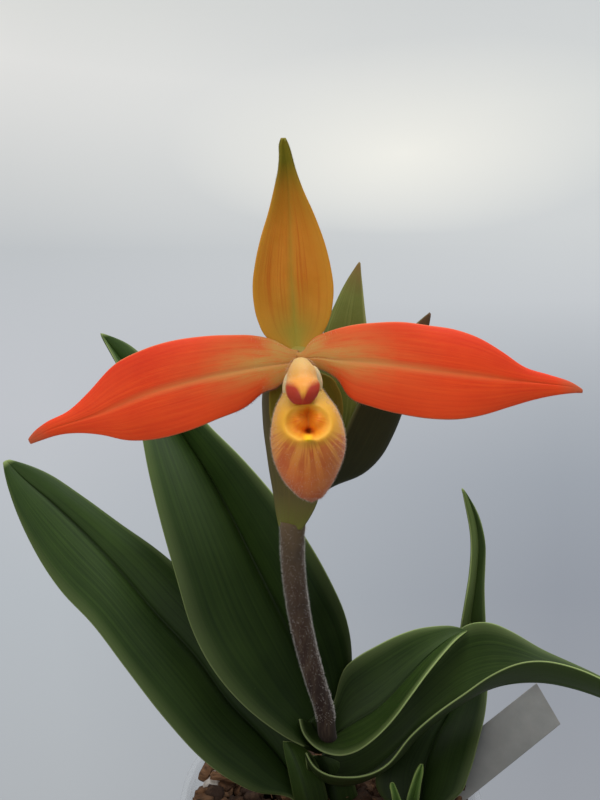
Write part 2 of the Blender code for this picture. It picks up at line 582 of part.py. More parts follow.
DORSAL_SEPAL = [
    ((291, 352, 160.4), (297, 354, 160.6), (303, 351, 160.4)),
    ((277, 346, 160.3), (296, 341, 160.9), (315, 343, 160.3)),
    ((266, 337, 159.9), (295.3, 331, 160.8), (323, 333, 159.9)),
    ((257.6, 320.5, 159), (294.3, 317, 160.3), (330, 318, 159)),
    ((253.7, 304, 158), (293.2, 300, 159.5), (332.8, 303, 158)),
    ((252.5, 285, 156.9), (291.7, 282, 158.5), (333.6, 287, 156.9)),
    ((255.3, 262, 155.6), (291, 262, 157.2), (330.5, 265, 155.6)),
    ((260.6, 238, 154.3), (290.6, 238, 155.8), (324, 240, 154.3)),
    ((268.3, 212, 153), (290, 213, 154.4), (313.5, 213, 153)),
    ((274.4, 187, 151.9), (288.6, 188, 153), (302.5, 189, 151.9)),
    ((278.6, 168, 151), (286.7, 168, 151.9), (294.5, 167, 151)),
    ((279.7, 154, 150.5), (285, 154, 151.1), (290.9, 153, 150.5)),
    ((279.5, 144, 150.2), (283.7, 144, 150.6), (288, 144, 150.2)),
    ((281.5, 138.5, 150.1), (283.2, 138, 150.2), (285, 138.5, 150.1)),
]
SYNSEPAL = [
    ((306, 368.5, 161.2), (300.5, 371, 160.8), (295, 368.5, 161.2)),
    ((325, 374, 160.4), (301.5, 377, 161.6), (279, 374, 160.4)),
    ((338, 387, 160.2), (303, 392, 162.4), (270.5, 387, 160.2)),
    ((343, 404, 160), (305, 408, 162.8), (269, 404, 160)),
    ((341.5, 424, 159.6), (306, 428, 162.6), (271, 424, 159.6)),
    ((335, 445, 159), (306.5, 448, 161.6), (279, 445, 159)),
    ((324, 463, 158.4), (306.5, 466, 160.2), (290, 463, 158.4)),
    ((314, 476, 158), (306, 479, 158.8), (299, 476, 158)),
    ((309, 484, 157.8), (306, 486, 158), (303, 484, 157.8)),
]
blade("petal_left", PETAL_LEFT, petal_orange, thick=0.9, na=15, nb=9, crease=False,
      belly=(0.2, 0.2))
blade("petal_right", PETAL_RIGHT, petal_orange, thick=0.9, na=15, nb=9, crease=False,
      belly=(0.2, 0.2))
blade("dorsal_sepal", DORSAL_SEPAL, sepal_ochre, thick=0.9, na=15, nb=9, crease=False)
blade("synsepal", SYNSEPAL, bract_olive, thick=0.8, na=10, nb=9, crease=False)

# Pouch: an egg hung from a neck, with a round mouth sunk in its upper front.
# Each row is (left u, right u, v, distance of the middle, half depth).
POUCH_ROWS = [
    (289, 317, 379, 155.4, 1.6), (284.5, 322, 388, 154.4, 3.4),
    (281, 328, 397, 153.2, 4.8), (276.4, 335, 406, 152.2, 5.8),
    (273, 340.6, 418, 151.4, 6.6), (271, 344.4, 431, 151, 7.0),
    (271, 345.4, 443, 150.8, 7.1), (273, 343.6, 456, 150.8, 6.8),
    (277, 339.4, 468, 151, 6.2), (283.4, 334, 480, 151.4, 5.3),
    (292, 328, 490, 151.8, 4.1), (300, 322.4, 497.5, 152.3, 2.7),
]
POUCH_END = (311.5, 502.3, 152.8)
POUCH_TOP = (303, 374.5, 156.2)
MOUTH = (307.5, 423.0, 23.5, 17.5)       # centre u, v and half sizes
MOUTH_DEEP = 6.2


def pouch_shell(rows_count, sides):
    data = np.array(POUCH_ROWS, float)
    rows = smooth_path(data, rows_count)
    verts = [seen(*POUCH_TOP)]
    axis = seen(300, 400, 1.0) - EYE
    axis = axis / np.linalg.norm(axis)
    for lu, ru, v, d, hd in rows:
        cu, hw = (lu + ru) / 2, (ru - lu) / 2
        for k in range(sides):
            a = 2 * math.pi * k / sides
            u = cu + hw * math.cos(a)
            depth = d - hd * math.sin(a)
            if math.sin(a) > 0:
                q = math.hypot((u - MOUTH[0]) / MOUTH[2], (v - MOUTH[1]) / MOUTH[3])
                sink = max(0.0, 1.0 - q ** 2)
                depth += MOUTH_DEEP * min(1.0, 1.7 * sink) * min(1.0, hd / 5.0)
            verts.append(seen(u, v, depth))
    verts.append(seen(*POUCH_END))
    n = len(rows)
    faces = []
    for k in range(sides):
        k2 = (k + 1) % sides
        faces.append((0, 1 + k2, 1 + k))
        faces.append((len(verts) - 1, 1 + (n - 1) * sides + k, 1 + (n - 1) * sides + k2))
    for i in range(n - 1):
        for k in range(sides):
            k2 = (k + 1) % sides
            faces.append((1 + i * sides + k, 1 + i * sides + k2,
                          1 + (i + 1) * sides + k2, 1 + (i + 1) * sides + k))
    return np.array(verts), orient(verts, faces)


pv, pf = pouch_shell(20, 28)
add_mesh("pouch", pv, pf, pouch_peach)

# Column: a short post behind the shield, and the shield itself.
tube("column", [seen(300, 361.5, 158.0), seen(301, 366, 155.6), seen(301.5, 370.5, 153.6)],
     [1.5, 1.7, 1.2], column_yellow, rings=5, sides=12)
SHIELD = [
    ((296.6, 362.5, 151.4), (300.5, 361.4, 150.9), (304.6, 362.3, 151.4)),
    ((292.6, 369, 151.1), (301, 368, 149.4), (309.9, 368.5, 151.1)),
    ((287.6, 380, 150.0), (302, 379, 147.8), (316.5, 378.5, 150.0)),
    ((286, 389, 148.4), (302.6, 388, 146.0), (319.4, 386.5, 148.4)),
    ((288.4, 397, 147.3), (302.6, 396, 145.5), (316.2, 395.5, 147.3)),
    ((294.5, 403, 146.5), (302, 403.6, 145.8), (309.5, 402.6, 146.5)),
]
blade("staminode", SHIELD, column_yellow, thick=0.9, na=9, nb=9, crease=False)

# ---------------------------------------------------------------- plant label
label_corners = [(536.5, 683, 211.0), (560.5, 724, 207.5), (447, 815.2, 203.0)]
LT = 0.6
quad = [seen(*c) for c in label_corners]
quad.append(quad[0] + quad[2] - quad[1])
nrm = np.cross(quad[1] - quad[0], quad[2] - quad[0])
nrm /= np.linalg.norm(nrm)
lv = [q - nrm * LT / 2 for q in quad] + [q + nrm * LT / 2 for q in quad]
lf = [(0, 1, 2, 3), (7, 6, 5, 4), (0, 4, 5, 1), (1, 5, 6, 2), (2, 6, 7, 3), (3, 7, 4, 0)]
lab = add_mesh("plant_label", np.array(lv), orient(lv, lf), label_white)
for poly in lab.data.polygons:
    poly.use_smooth = False
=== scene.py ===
# Potted slipper orchid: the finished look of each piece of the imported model.
# The frame is the same as the model's: metres, +Z up, the flower faces -Y,
# and the origin is the centre of the pot's flat underside.
import math
import random
import bpy
import bmesh
import numpy as np
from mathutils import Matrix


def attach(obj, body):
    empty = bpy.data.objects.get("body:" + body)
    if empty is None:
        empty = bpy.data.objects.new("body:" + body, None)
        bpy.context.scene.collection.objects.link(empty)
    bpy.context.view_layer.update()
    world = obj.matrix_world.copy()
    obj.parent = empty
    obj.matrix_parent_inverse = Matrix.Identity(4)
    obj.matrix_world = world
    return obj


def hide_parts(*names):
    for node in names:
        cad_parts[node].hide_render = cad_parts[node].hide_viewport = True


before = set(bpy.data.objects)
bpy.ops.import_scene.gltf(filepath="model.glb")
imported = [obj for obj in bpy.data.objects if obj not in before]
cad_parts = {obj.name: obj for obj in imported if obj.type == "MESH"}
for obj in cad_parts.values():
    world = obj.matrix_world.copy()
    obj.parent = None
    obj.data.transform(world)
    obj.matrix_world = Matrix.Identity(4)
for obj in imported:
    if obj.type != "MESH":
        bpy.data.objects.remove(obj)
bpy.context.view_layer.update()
scene = bpy.context.scene
scene.view_settings.view_transform = "Standard"
scene.view_settings.look = "None"
scene.view_settings.exposure = 0.0

MM = 0.001
EYE = np.array([-7.0, -161.5, 221.7])
DIP = math.radians(20.0)
REACH = 900.0
POT_HEIGHT, POT_RIM_R, POT_BASE_R, POT_WALL = 68.0, 34.0, 25.5, 1.1
LEAF_T = 1.2


# ---------------------------------------------------------------- geometry
def seen(u, v, d):
    a = (u - 300.0) / REACH
    b = (400.0 - v) / REACH
    return EYE + d * np.array([a, math.cos(DIP) + b * math.sin(DIP),
                               -math.sin(DIP) + b * math.cos(DIP)])


VIEW_AXIS = np.array([0.0, math.cos(DIP), -math.sin(DIP)])


def smooth_path(points, count, chord=None):
    p = np.asarray(points, float)
    if chord is None:
        step = np.linalg.norm(np.diff(p, axis=0), axis=1)
        chord = np.concatenate([[0.0], np.cumsum(np.maximum(step, 1e-6))])
        chord = chord / chord[-1]
    slope = np.zeros_like(p)
    h = np.diff(chord)
    inner = np.diff(p, axis=0) / h[:, None]
    slope[1:-1] = ((inner[:-1] * h[1:, None] + inner[1:] * h[:-1, None])
                   / (h[:-1] + h[1:])[:, None])
    slope[0] = 1.5 * inner[0] - 0.5 * slope[1]
    slope[-1] = 1.5 * inner[-1] - 0.5 * slope[-2]
    where = np.linspace(0.0, 1.0, count) if np.isscalar(count) else count
    k = np.clip(np.searchsorted(chord, where, side="right") - 1, 0, len(h) - 1)
    s = ((where - chord[k]) / h[k])[:, None]
    hk = h[k][:, None]
    return ((2 * s**3 - 3 * s**2 + 1) * p[k] + (s**3 - 2 * s**2 + s) * hk * slope[k]
            + (-2 * s**3 + 3 * s**2) * p[k + 1] + (s**3 - s**2) * hk * slope[k + 1])


def soften(rail, times):
    """Evens out the small unevenness of a rail, ends kept."""
    for _ in range(times):
        r = rail.copy()
        r[1:-1] = 0.25 * rail[:-2] + 0.5 * rail[1:-1] + 0.25 * rail[2:]
        rail = r
    return rail


def surface(stations, na, nb, crease=True, belly=(0.0, 0.0), ease=8):
    rails = [np.array([seen(*s[k]) for s in stations]) for k in range(3)]
    spine = (rails[0] + rails[1] + rails[2]) / 3.0
    step = np.linalg.norm(np.diff(spine, axis=0), axis=1)
    chord = np.concatenate([[0.0], np.cumsum(step)])
    chord = chord / chord[-1]
    left, mid, right = [soften(smooth_path(r, na, chord), ease) for r in rails]
    x = np.sin(np.linspace(-1, 1, nb) * math.pi / 2)
    x = 0.6 * x + 0.4 * np.linspace(-1, 1, nb)
    grid = np.zeros((na, nb, 3))
    along = np.gradient(mid, axis=0)
    n = np.cross(right - left, along)
    n /= np.linalg.norm(n, axis=1)[:, None] + 1e-9
    width = np.linalg.norm(right - left, axis=1)
    for j, s in enumerate(x):
        a = abs(s)
        side = left if s < 0 else right
        if crease:
            base = mid * (1 - a) + side * a
        else:
            base = (mid * (1 - s * s) + left * 0.5 * s * (s - 1)
                    + right * 0.5 * s * (s + 1))
        bow = 4 * a * (1 - a) * (belly[0] if s < 0 else belly[1])
        grid[:, j] = base + n * (bow * np.minimum(width / 20.0, 1.0))[:, None]
    return grid, x


def recalc(me):
    bm = bmesh.new()
    bm.from_mesh(me)
    bmesh.ops.recalc_face_normals(bm, faces=bm.faces)
    bm.to_mesh(me)
    bm.free()
    me.update()


def make_object(name, verts, faces, mat, attrs=None, smooth=True, fix=True):
    me = bpy.data.meshes.new(name)
    v = np.asarray(verts, float) * MM
    me.from_pydata(v.tolist(), [], [tuple(int(i) for i in f) for f in faces])
    for key, val in (attrs or {}).items():
        at = me.attributes.new(key, "FLOAT", "POINT")
        at.data.foreach_set("value", np.asarray(val, np.float32))
    me.update()
    if fix:
        recalc(me)
    me.polygons.foreach_set("use_smooth", [smooth] * len(me.polygons))
    ob = bpy.data.objects.new(name, me)
    scene.collection.objects.link(ob)
    me.materials.append(mat)
    return ob


def blade_mesh(stations, thick, na, nb, crease=True, belly=(0.0, 0.0), ease=8,
               groove=0.0, keel=0.0, groove_w=0.05, ripple=None, tip_share=0.3,
               edge_power=8):
    grid, x = surface(stations, na, nb, crease, belly, ease)
    if ripple:
        grid = ripple(grid, x)
    ga = np.gradient(grid, axis=0)
    gb = np.gradient(grid, axis=1)
    n = np.cross(gb, ga)
    n /= np.linalg.norm(n, axis=2)[:, :, None] + 1e-12
    t = np.linspace(0, 1, na)
    lengthwise = tip_share + (1 - tip_share) * np.clip((1 - t) * 10, 0, 1) ** 0.5
    across = np.sqrt(np.clip(1 - np.abs(x) ** edge_power, 0, 1))
    h = 0.5 * thick * lengthwise[:, None] * across[None, :]
    dip = np.exp(-(x / groove_w) ** 2)[None, :] * np.clip((1 - t) * 6, 0, 1)[:, None]
    top = grid + n * (h - groove * dip)[:, :, None]
    bot = grid - n * (h + keel * dip)[:, :, None]
    count = na * nb
    ti = np.arange(count).reshape(na, nb)
    bi = ti.copy()
    bi[:, 1:-1] = count + np.arange(na * (nb - 2)).reshape(na, nb - 2)
    verts = np.concatenate([top.reshape(-1, 3), bot[:, 1:-1].reshape(-1, 3)])
    T, X = np.meshgrid(t, x, indexing="ij")
    along = np.concatenate([T.ravel(), T[:, 1:-1].ravel()])
    acr = np.concatenate([X.ravel(), X[:, 1:-1].ravel()])
    face = np.ones((na, nb))
    face[:, 0] = face[:, -1] = 0.0
    face = np.concatenate([face.ravel(), -np.ones(na * (nb - 2))])
    faces = []
    a, b, c, d = ti[:-1, :-1], ti[:-1, 1:], ti[1:, 1:], ti[1:, :-1]
    faces += np.stack([a, b, c, d], -1).reshape(-1, 4).tolist()
    a, b, c, d = bi[:-1, :-1], bi[:-1, 1:], bi[1:, 1:], bi[1:, :-1]
    faces += np.stack([a, d, c, b], -1).reshape(-1, 4).tolist()
    for i in (0, na - 1):
        for j in range(nb - 1):
            ring = [ti[i, j], ti[i, j + 1], bi[i, j + 1], bi[i, j]]
            ring = [r for k, r in enumerate(ring) if r not in ring[:k]]
            if i == 0:
                ring = ring[::-1]
            faces.append(ring)
    return verts, faces, {"along": along, "across": acr, "face": face}, grid, n


def blade(name, stations, mat, node=None, slot=None, thick=LEAF_T, na=150, nb=49,
          **kw):
    verts, faces, attrs, grid, n = blade_mesh(stations, thick, na, nb, **kw)
    ob = make_object(name, verts, faces, mat, attrs)
    settle(ob, node)
    return ob, grid, n


def settle(ob, node):
    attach(ob, "root")
    if node:
        for one in ([node] if isinstance(node, str) else node):
            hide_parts(one)
    return ob


def tube_mesh(centres, radii, rings, sides, squash=1.0, profile=None, dome=0.5):
    path = smooth_path(np.array(centres), rings)
    rad = smooth_path(np.array([[r, 0, 0] for r in radii]), rings)[:, 0]
    tangent = np.gradient(path, axis=0)
    tangent /= np.linalg.norm(tangent, axis=1)[:, None]
    side = np.array([1.0, 0.0, 0.0])
    verts, along, around, out = [], [], [], []
    for i in range(rings):
        side = side - tangent[i] * np.dot(side, tangent[i])
        side /= np.linalg.norm(side)
        other = np.cross(tangent[i], side)
        for k in range(sides):
            a = 2 * math.pi * k / sides
            f = profile(i / (rings - 1), a) if profile else 1.0
            d = math.cos(a) * side + squash * math.sin(a) * other
            verts.append(path[i] + rad[i] * f * d)
            out.append(d / np.linalg.norm(d))
            along.append(i / (rings - 1))
            around.append(math.sin(a))
    faces = []
    for i in range(rings - 1):
        for k in range(sides):
            k2 = (k + 1) % sides
            faces.append((i * sides + k, i * sides + k2,
                          (i + 1) * sides + k2, (i + 1) * sides + k))
    for end in (0, rings - 1):
        c = len(verts)
        sgn = -1 if end == 0 else 1
        verts.append(path[end] + sgn * tangent[end] * rad[end] * dome)
        out.append(sgn * tangent[end])
        along.append(0.0 if end == 0 else 1.0)
        around.append(0.0)
        for k in range(sides):
            k2 = (k + 1) % sides
            faces.append((c, end * sides + k, end * sides + k2))
    return (np.array(verts), faces, {"along": along, "across": around},
            np.array(out))


def tube(name, centres, radii, mat, node=None, slot=None, rings=60, sides=32, **kw):
    verts, faces, attrs, out = tube_mesh(centres, radii, rings, sides, **kw)
    ob = make_object(name, verts, faces, mat, attrs)
    settle(ob, node)
    return ob, verts, out


def hairs(name, roots, dirs, length, width, mat, seed, curl=0.35):
    """Short down: one slim three-sided cone for each root."""
    rng = np.random.default_rng(seed)
    m = len(roots)
    d = dirs / (np.linalg.norm(dirs, axis=1)[:, None] + 1e-9)
    d = d + rng.normal(0, curl, (m, 3))
    d /= np.linalg.norm(d, axis=1)[:, None]
    ref = np.where(np.abs(d[:, 2:3]) > 0.8, np.array([[1.0, 0, 0]]), np.array([[0, 0, 1.0]]))
    s1 = np.cross(d, ref)
    s1 /= np.linalg.norm(s1, axis=1)[:, None]
    s2 = np.cross(d, s1)
    ln = length * rng.uniform(0.5, 1.25, (m, 1))
    verts = np.zeros((m, 4, 3))
    for k in range(3):
        a = 2 * math.pi * k / 3
        verts[:, k] = roots - d * 0.03 + width * (math.cos(a) * s1 + math.sin(a) * s2)
    verts[:, 3] = roots + d * ln
    base = np.arange(m)[:, None] * 4
    tri = np.array([[0, 1, 3], [1, 2, 3], [2, 0, 3], [2, 1, 0]])
    faces = (base[:, None, :] + tri[None]).reshape(-1, 3)
    ob = make_object(name, verts.reshape(-1, 3), faces.tolist(), mat, fix=False)
    settle(ob, None)
    return ob


def scatter(verts, faces, count, seed, keep=None):
    """Random points on a mesh with their outward normals, by area."""
    rng = np.random.default_rng(seed)
    tri = []
    for f in faces:
        for i in range(1, len(f) - 1):
            tri.append((f[0], f[i], f[i + 1]))
    tri = np.array(tri)
    a, b, c = verts[tri[:, 0]], verts[tri[:, 1]], verts[tri[:, 2]]
    nn = np.cross(b - a, c - a)
    area = np.linalg.norm(nn, axis=1)
    pick = rng.choice(len(tri), size=count, p=area / area.sum())
    r1, r2 = np.sqrt(rng.random(count)), rng.random(count)
    w = np.stack([1 - r1, r1 * (1 - r2), r1 * r2], -1)
    p = a[pick] * w[:, :1] + b[pick] * w[:, 1:2] + c[pick] * w[:, 2:]
    n = nn[pick] / (area[pick][:, None] + 1e-12)
    if keep is not None:
        ok = keep(p)
        p, n = p[ok], n[ok]
    return p, n


# ---------------------------------------------------------------- node helper
class Nodes:
    def __init__(self, name):
        self.mat = bpy.data.materials.new(name)
        self.mat.use_nodes = True
        self.t = self.mat.node_tree
        self.b = self.t.nodes["Principled BSDF"]

    def new(self, kind, **props):
        n = self.t.nodes.new(kind)
        for k, v in props.items():
            setattr(n, k, v)
        return n

    def put(self, node, socket, value):
        if hasattr(value, "is_output") or hasattr(value, "links"):
            self.t.links.new(value, node.inputs[socket])
        elif isinstance(value, (tuple, list)) and len(value) == 3 and \
                node.inputs[socket].type == "RGBA":
            node.inputs[socket].default_value = (*value, 1.0)
        else:
            node.inputs[socket].default_value = value

    def attr(self, name):
        return self.new("ShaderNodeAttribute", attribute_name=name,
                        attribute_type="GEOMETRY").outputs["Fac"]

    def math(self, op, a, b=0.0, c=0.0, clamp=False):
        n = self.new("ShaderNodeMath", operation=op, use_clamp=clamp)
        for i, v in enumerate((a, b, c)):
            if i < len(n.inputs):
                self.put(n, i, v)
        return n.outputs[0]

    def ramp(self, fac, stops, mode="LINEAR"):
        n = self.new("ShaderNodeValToRGB")
        n.color_ramp.interpolation = mode
        el = n.color_ramp.elements
        while len(el) < len(stops):
            el.new(0.5)
        for e, (p, col) in zip(el, stops):
            e.position = p
            if not isinstance(col, (tuple, list)):
                col = (col, col, col)
            e.color = (*col, 1.0)
        self.put(n, 0, fac)
        return n.outputs[0]

    def mix(self, fac, a, b, blend="MIX"):
        n = self.new("ShaderNodeMix", data_type="RGBA", blend_type=blend)
        n.clamp_factor = True
        self.put(n, 0, fac)
        for sock, v in ((6, a), (7, b)):
            self.put(n, sock, v)
        return n.outputs[2]

    def coords(self):
        return self.new("ShaderNodeTexCoord").outputs["Object"]

    def scaled(self, vec, s):
        n = self.new("ShaderNodeMapping")
        self.put(n, 0, vec)
        n.inputs["Scale"].default_value = s
        return n.outputs[0]

    def noise(self, vec, scale, detail=3.0, rough=0.55, dist=0.0):
        n = self.new("ShaderNodeTexNoise")
        self.put(n, "Vector", vec)
        n.inputs["Scale"].default_value = scale
        n.inputs["Detail"].default_value = detail
        n.inputs["Roughness"].default_value = rough
        n.inputs["Distortion"].default_value = dist
        return n.outputs["Fac"]

    def pair(self, x, y, z=0.0):
        n = self.new("ShaderNodeCombineXYZ")
        self.put(n, 0, x)
        self.put(n, 1, y)
        self.put(n, 2, z)
        return n.outputs[0]

    def bump(self, height, strength, dist, normal=None):
        n = self.new("ShaderNodeBump")
        n.inputs["Strength"].default_value = strength
        n.inputs["Distance"].default_value = dist
        self.put(n, "Height", height)
        if normal is not None:
            self.put(n, "Normal", normal)
        self.t.links.new(n.outputs[0], self.b.inputs["Normal"])
        return n.outputs[0]

    def base(self, colour, rough=0.5, sub=0.0, sub_r=(1.0, 0.4, 0.2), sub_s=0.001,
             sheen=0.0, coat=0.0, spec=0.5):
        self.put(self.b, "Base Color", colour)
        self.put(self.b, "Roughness", rough)
        self.b.inputs["Subsurface Weight"].default_value = sub
        self.b.inputs["Subsurface Radius"].default_value = sub_r
        self.b.inputs["Subsurface Scale"].default_value = sub_s
        self.b.inputs["Sheen Weight"].default_value = sheen
        self.b.inputs["Coat Weight"].default_value = coat
        self.b.inputs["Specular IOR Level"].default_value = spec
        return self.mat


# ---------------------------------------------------------------- outlines
# Each point is (u, v, d) on the sight fan, as in the model.
LEAF_LEFT_LOW = [
    ((300, 806, 200), (309, 806, 203.5), (313, 798, 203.5)),
    ((286, 795.5, 199), (301, 790, 203), (305, 775, 202)),
    ((262, 794, 198), (289, 770, 203.5), (303.5, 746, 202.5)),
    ((240, 785.5, 197.5), (268, 743, 204.5), (292, 712, 205)),
    ((205, 762, 197.5), (230, 704, 206), (262, 670, 208.5)),
    ((164, 718, 198.5), (194, 655, 208), (230, 622, 210.5)),
    ((126, 669, 200.5), (155, 613, 209.5), (195, 583, 212)),
    ((92, 624, 203), (117, 568, 211), (158, 550, 214)),
    ((60, 590, 206), (82, 531, 212.5), (122, 525, 215.5)),
    ((33, 548, 209), (50, 501, 213.5), (82, 496, 216)),
    ((13, 503, 212), (25, 480, 214.5), (45, 472, 216)),
    ((4.5, 474, 214), (12, 467, 215), (22, 463, 215.5)),
    ((3, 463, 215), (6, 460.5, 215.3), (10, 459.8, 215.4)),
]
LEAF_LEFT_TALL = [
    ((304, 746, 196.6), (318, 754, 208), (338, 737, 209.4)),
    ((283, 736, 195), (319, 717, 208), (349, 693, 209)),
    ((247, 709, 195), (308, 680, 207), (352, 655, 208)),
    ((213, 670, 196), (294, 642, 206), (346, 617, 202)),
    ((192, 630, 198), (276, 604, 205.5), (332, 584, 196)),
    ((176, 577, 200), (254, 560, 206.8), (308, 541, 195)),
    ((160, 520, 204), (230, 512, 209.8), (275, 496, 198.5)),
    ((148, 470, 209), (206, 469, 214.2), (243, 459, 203.5)),
    ((139, 422, 216), (180, 431, 220.6), (208, 424, 211)),
    ((128, 388, 225), (150, 397, 228.4), (175, 386, 220.5)),
    ((113, 356, 234), (122, 363, 236.4), (145, 357, 231.5)),
    ((103, 338, 240), (105, 340, 240.6), (116, 338, 239.5)),
    ((100.5, 333.5, 241), (101.2, 333.8, 241.2), (103, 333.6, 241)),
]
LEAF_RIGHT_INNER = [
    ((319, 713, 203), (309, 722, 199.6), (299.4, 719, 197)),
    ((327, 710, 203.8), (319, 736, 200.6), (304, 735, 195.7)),
    ((334, 702, 204.3), (333, 738, 203), (318, 749.5, 194.5)),
    ((338, 685, 204.8), (343, 731, 203), (335, 755.5, 193.5)),
    ((344, 669, 205), (357, 722, 203), (353, 753, 192.5)),
    ((357, 657, 205), (374, 712, 202.5), (372, 741, 192)),
    ((376, 646, 205.5), (391, 697, 202.5), (392, 721, 192.5)),
    ((396, 636, 206), (407, 680, 203), (410, 697, 194)),
    ((416, 629, 207), (424, 662, 204), (426, 675, 196.5)),
    ((436, 626, 208), (441, 647, 205.5), (442, 655, 200)),
    ((453, 626, 208.5), (456, 636.5, 207), (457, 638.5, 204)),
    ((464, 629, 208.5), (465, 631.5, 208.2), (465.5, 632, 207)),
    ((466.8, 630.5, 208.6), (467, 631, 208.6), (467.2, 631.3, 208.5)),
]
LEAF_RIGHT_ARCHING = [
    ((318, 786, 209.5), (322, 793, 206.5), (310, 785, 201.5)),
    ((322, 762, 210.5), (321, 783, 205), (306.5, 766, 197)),
    ((326, 742, 211), (320, 774, 204.5), (305.5, 750, 195.2)),
    ((336, 737, 211.5), (327, 780, 203.7), (310, 763, 194)),
    ((350, 728, 212), (341, 783, 203), (326, 774.5, 192.8)),
    ((366, 717, 212), (358, 780, 202.6), (348, 777.3, 192)),
    ((385, 703, 212), (378, 768, 202.4), (368, 775, 191.5)),
    ((403, 688, 211.5), (398, 750, 202.4), (388, 764.5, 191.5)),
    ((422, 668, 211), (418, 730, 202.4), (409, 738, 192.5)),
    ((444, 645, 211.6), (441, 712, 202.2), (436, 714, 193)),
    ((466, 625, 210.8), (466, 697, 201), (465, 693.5, 193)),
    ((490, 622.5, 206.5), (490, 686, 199.5), (491, 675.5, 192)),
    ((514, 632.5, 203), (516, 680, 197), (518, 663.5, 190.5)),
    ((540, 648, 200), (543, 679, 194.5), (544, 661, 189)),
    ((568, 661, 197), (571, 684, 192), (573, 667, 187)),
    ((600, 676, 194), (602, 694, 189.5), (602, 679, 184.5)),
    ((640, 700, 189), (643, 713, 185.5), (641, 702, 181.5)),
    ((680, 727, 184.5), (683, 736, 182), (680, 730, 179)),
    ((714, 753, 180.5), (717, 758, 179), (713, 756, 177)),
    ((734, 770, 177), (736, 772, 176.5), (733, 772, 176.3)),
]
LEAF_RIGHT_BACK = [
    ((402, 811, 201.4), (420, 811, 200.8), (438, 810, 197.4)),
    ((384, 800, 204), (421, 799, 202.2), (458, 797, 196.8)),
    ((375, 780, 205.4), (424, 775, 204.6), (468, 777, 197.8)),
    ((394, 748, 208.3), (435, 741, 209.5), (478.5, 742, 201.2)),
    ((427, 714, 213), (452, 708, 215.6), (486, 708, 209)),
    ((447, 684, 216.8), (463, 676, 219.5), (488, 678, 214)),
    ((457, 650, 217.6), (468, 644, 220), (487, 648, 216.2)),
    ((462, 621, 216.5), (470, 615, 219.8), (485.5, 618, 216.9)),
    ((466, 598, 215.5), (473, 592, 219.3), (484.5, 588, 217.5)),
    ((470, 572, 216), (476, 566, 219.5), (485.5, 560, 218)),
    ((471.5, 547, 216.5), (477, 543, 219), (485.5, 543, 218)),
    ((469.5, 524, 217), (474.5, 521, 219), (481, 522, 218)),
    ((465.5, 505, 217), (469.5, 504, 218.5), (474.5, 506, 218)),
    ((462.8, 492, 217.5), (464.5, 492, 218), (466.5, 493.5, 218)),
    ((461.8, 488.5, 217.8), (462.2, 488.5, 218), (462.8, 489, 218)),
]
SHOOT_SHORT = [
    ((396, 812, 194), (401, 812, 195.0), (406, 812, 194.4)),
    ((393, 802, 194), (398, 802, 195.2), (402, 803, 194.6)),
    ((391.2, 791, 194), (394.5, 791, 195.0), (397.8, 792, 194.7)),
    ((390.2, 785.5, 194.3), (392.8, 785.2, 194.9), (395.4, 786.2, 194.7)),
    ((390.6, 782.6, 194.6), (392.3, 782.2, 194.9), (394.0, 783.0, 194.8)),
]
SHOOT_LONG = [
    ((406, 813, 196), (411, 814, 197.6), (418, 813, 196.5)),
    ((407, 799, 196), (413, 799, 197.8), (419, 799, 196.6)),
    ((411.5, 784, 197), (416, 784, 198.6), (421, 784, 197.8)),
    ((416.5, 771, 197.6), (419.5, 771, 199.2), (423, 771, 198.4)),
    ((420.6, 764, 198.2), (421.6, 764, 199), (423, 764, 198.8)),
]
STEM = [(326.5, 729, 199.2), (325.5, 717, 198), (315, 680, 192.5),
        (304.5, 640, 187), (297, 600, 181), (293, 560, 175), (292.5, 535, 171.2)]
OVARY = [(294, 518, 170.4), (291, 490, 170.6), (291, 450, 170.4), (293, 415, 168.6),
         (297, 388, 166.2), (299, 375, 164.4)]
RACHIS = [(308, 506, 178.5), (315, 490, 178.7), (323, 472, 178.8), (331, 454, 178.6)]
BUD = [(347, 438, 178.3), (349, 412, 178.3), (350, 385, 178.3), (351, 358, 178.4),
       (352, 340, 178.5)]
BRACT_LOWER = [
    ((302, 529.5, 168.5), (281.5, 526, 170.6), (296, 526, 173.4)),
    ((311, 516, 166.6), (278.5, 511, 170.6), (302, 511, 174.8)),
    ((319, 497, 165.6), (275.5, 491, 170.8), (306, 491, 175.4)),
    ((320, 472, 165.2), (271.8, 470, 171), (306, 470, 175.6)),
    ((312, 450, 165), (269, 450, 171), (302, 450, 175.4)),
    ((300, 430, 165), (266.3, 430, 171), (296, 430, 174.8)),
    ((286, 411, 165.6), (265, 410, 170.6), (285, 411, 173.6)),
    ((274, 395, 167), (264.6, 393, 170), (274, 396, 172)),
    ((268, 381, 168.6), (265.6, 380, 169.6), (268, 381, 170.4)),
]
BRACT_RIGHT = [
    ((300, 527, 175.4), (309, 523, 178.4), (303, 517, 180.4)),
    ((311, 508, 175.6), (325, 500, 179), (314, 496, 181.6)),
    ((323, 488, 174.8), (343, 487.5, 179), (324, 476, 182.4)),
    ((333, 462, 174.2), (362, 475, 179), (334, 452, 182.8)),
    ((343, 436, 174), (379, 457, 179), (345, 428, 182.8)),
    ((354, 410, 174), (392, 434, 179), (357, 404, 182.6)),
    ((367, 385, 174.4), (402, 409, 179), (371, 381, 182.2)),
    ((383, 360, 175.2), (411, 380, 179), (387, 358, 181.6)),
    ((402, 337, 176.6), (420, 350, 179.2), (405, 336, 181)),
    ((421, 319, 178.4), (428, 325, 179.6), (422, 318.5, 180.4)),
    ((428.6, 313, 179.6), (430.4, 313.6, 180), (429.6, 312.2, 180)),
]
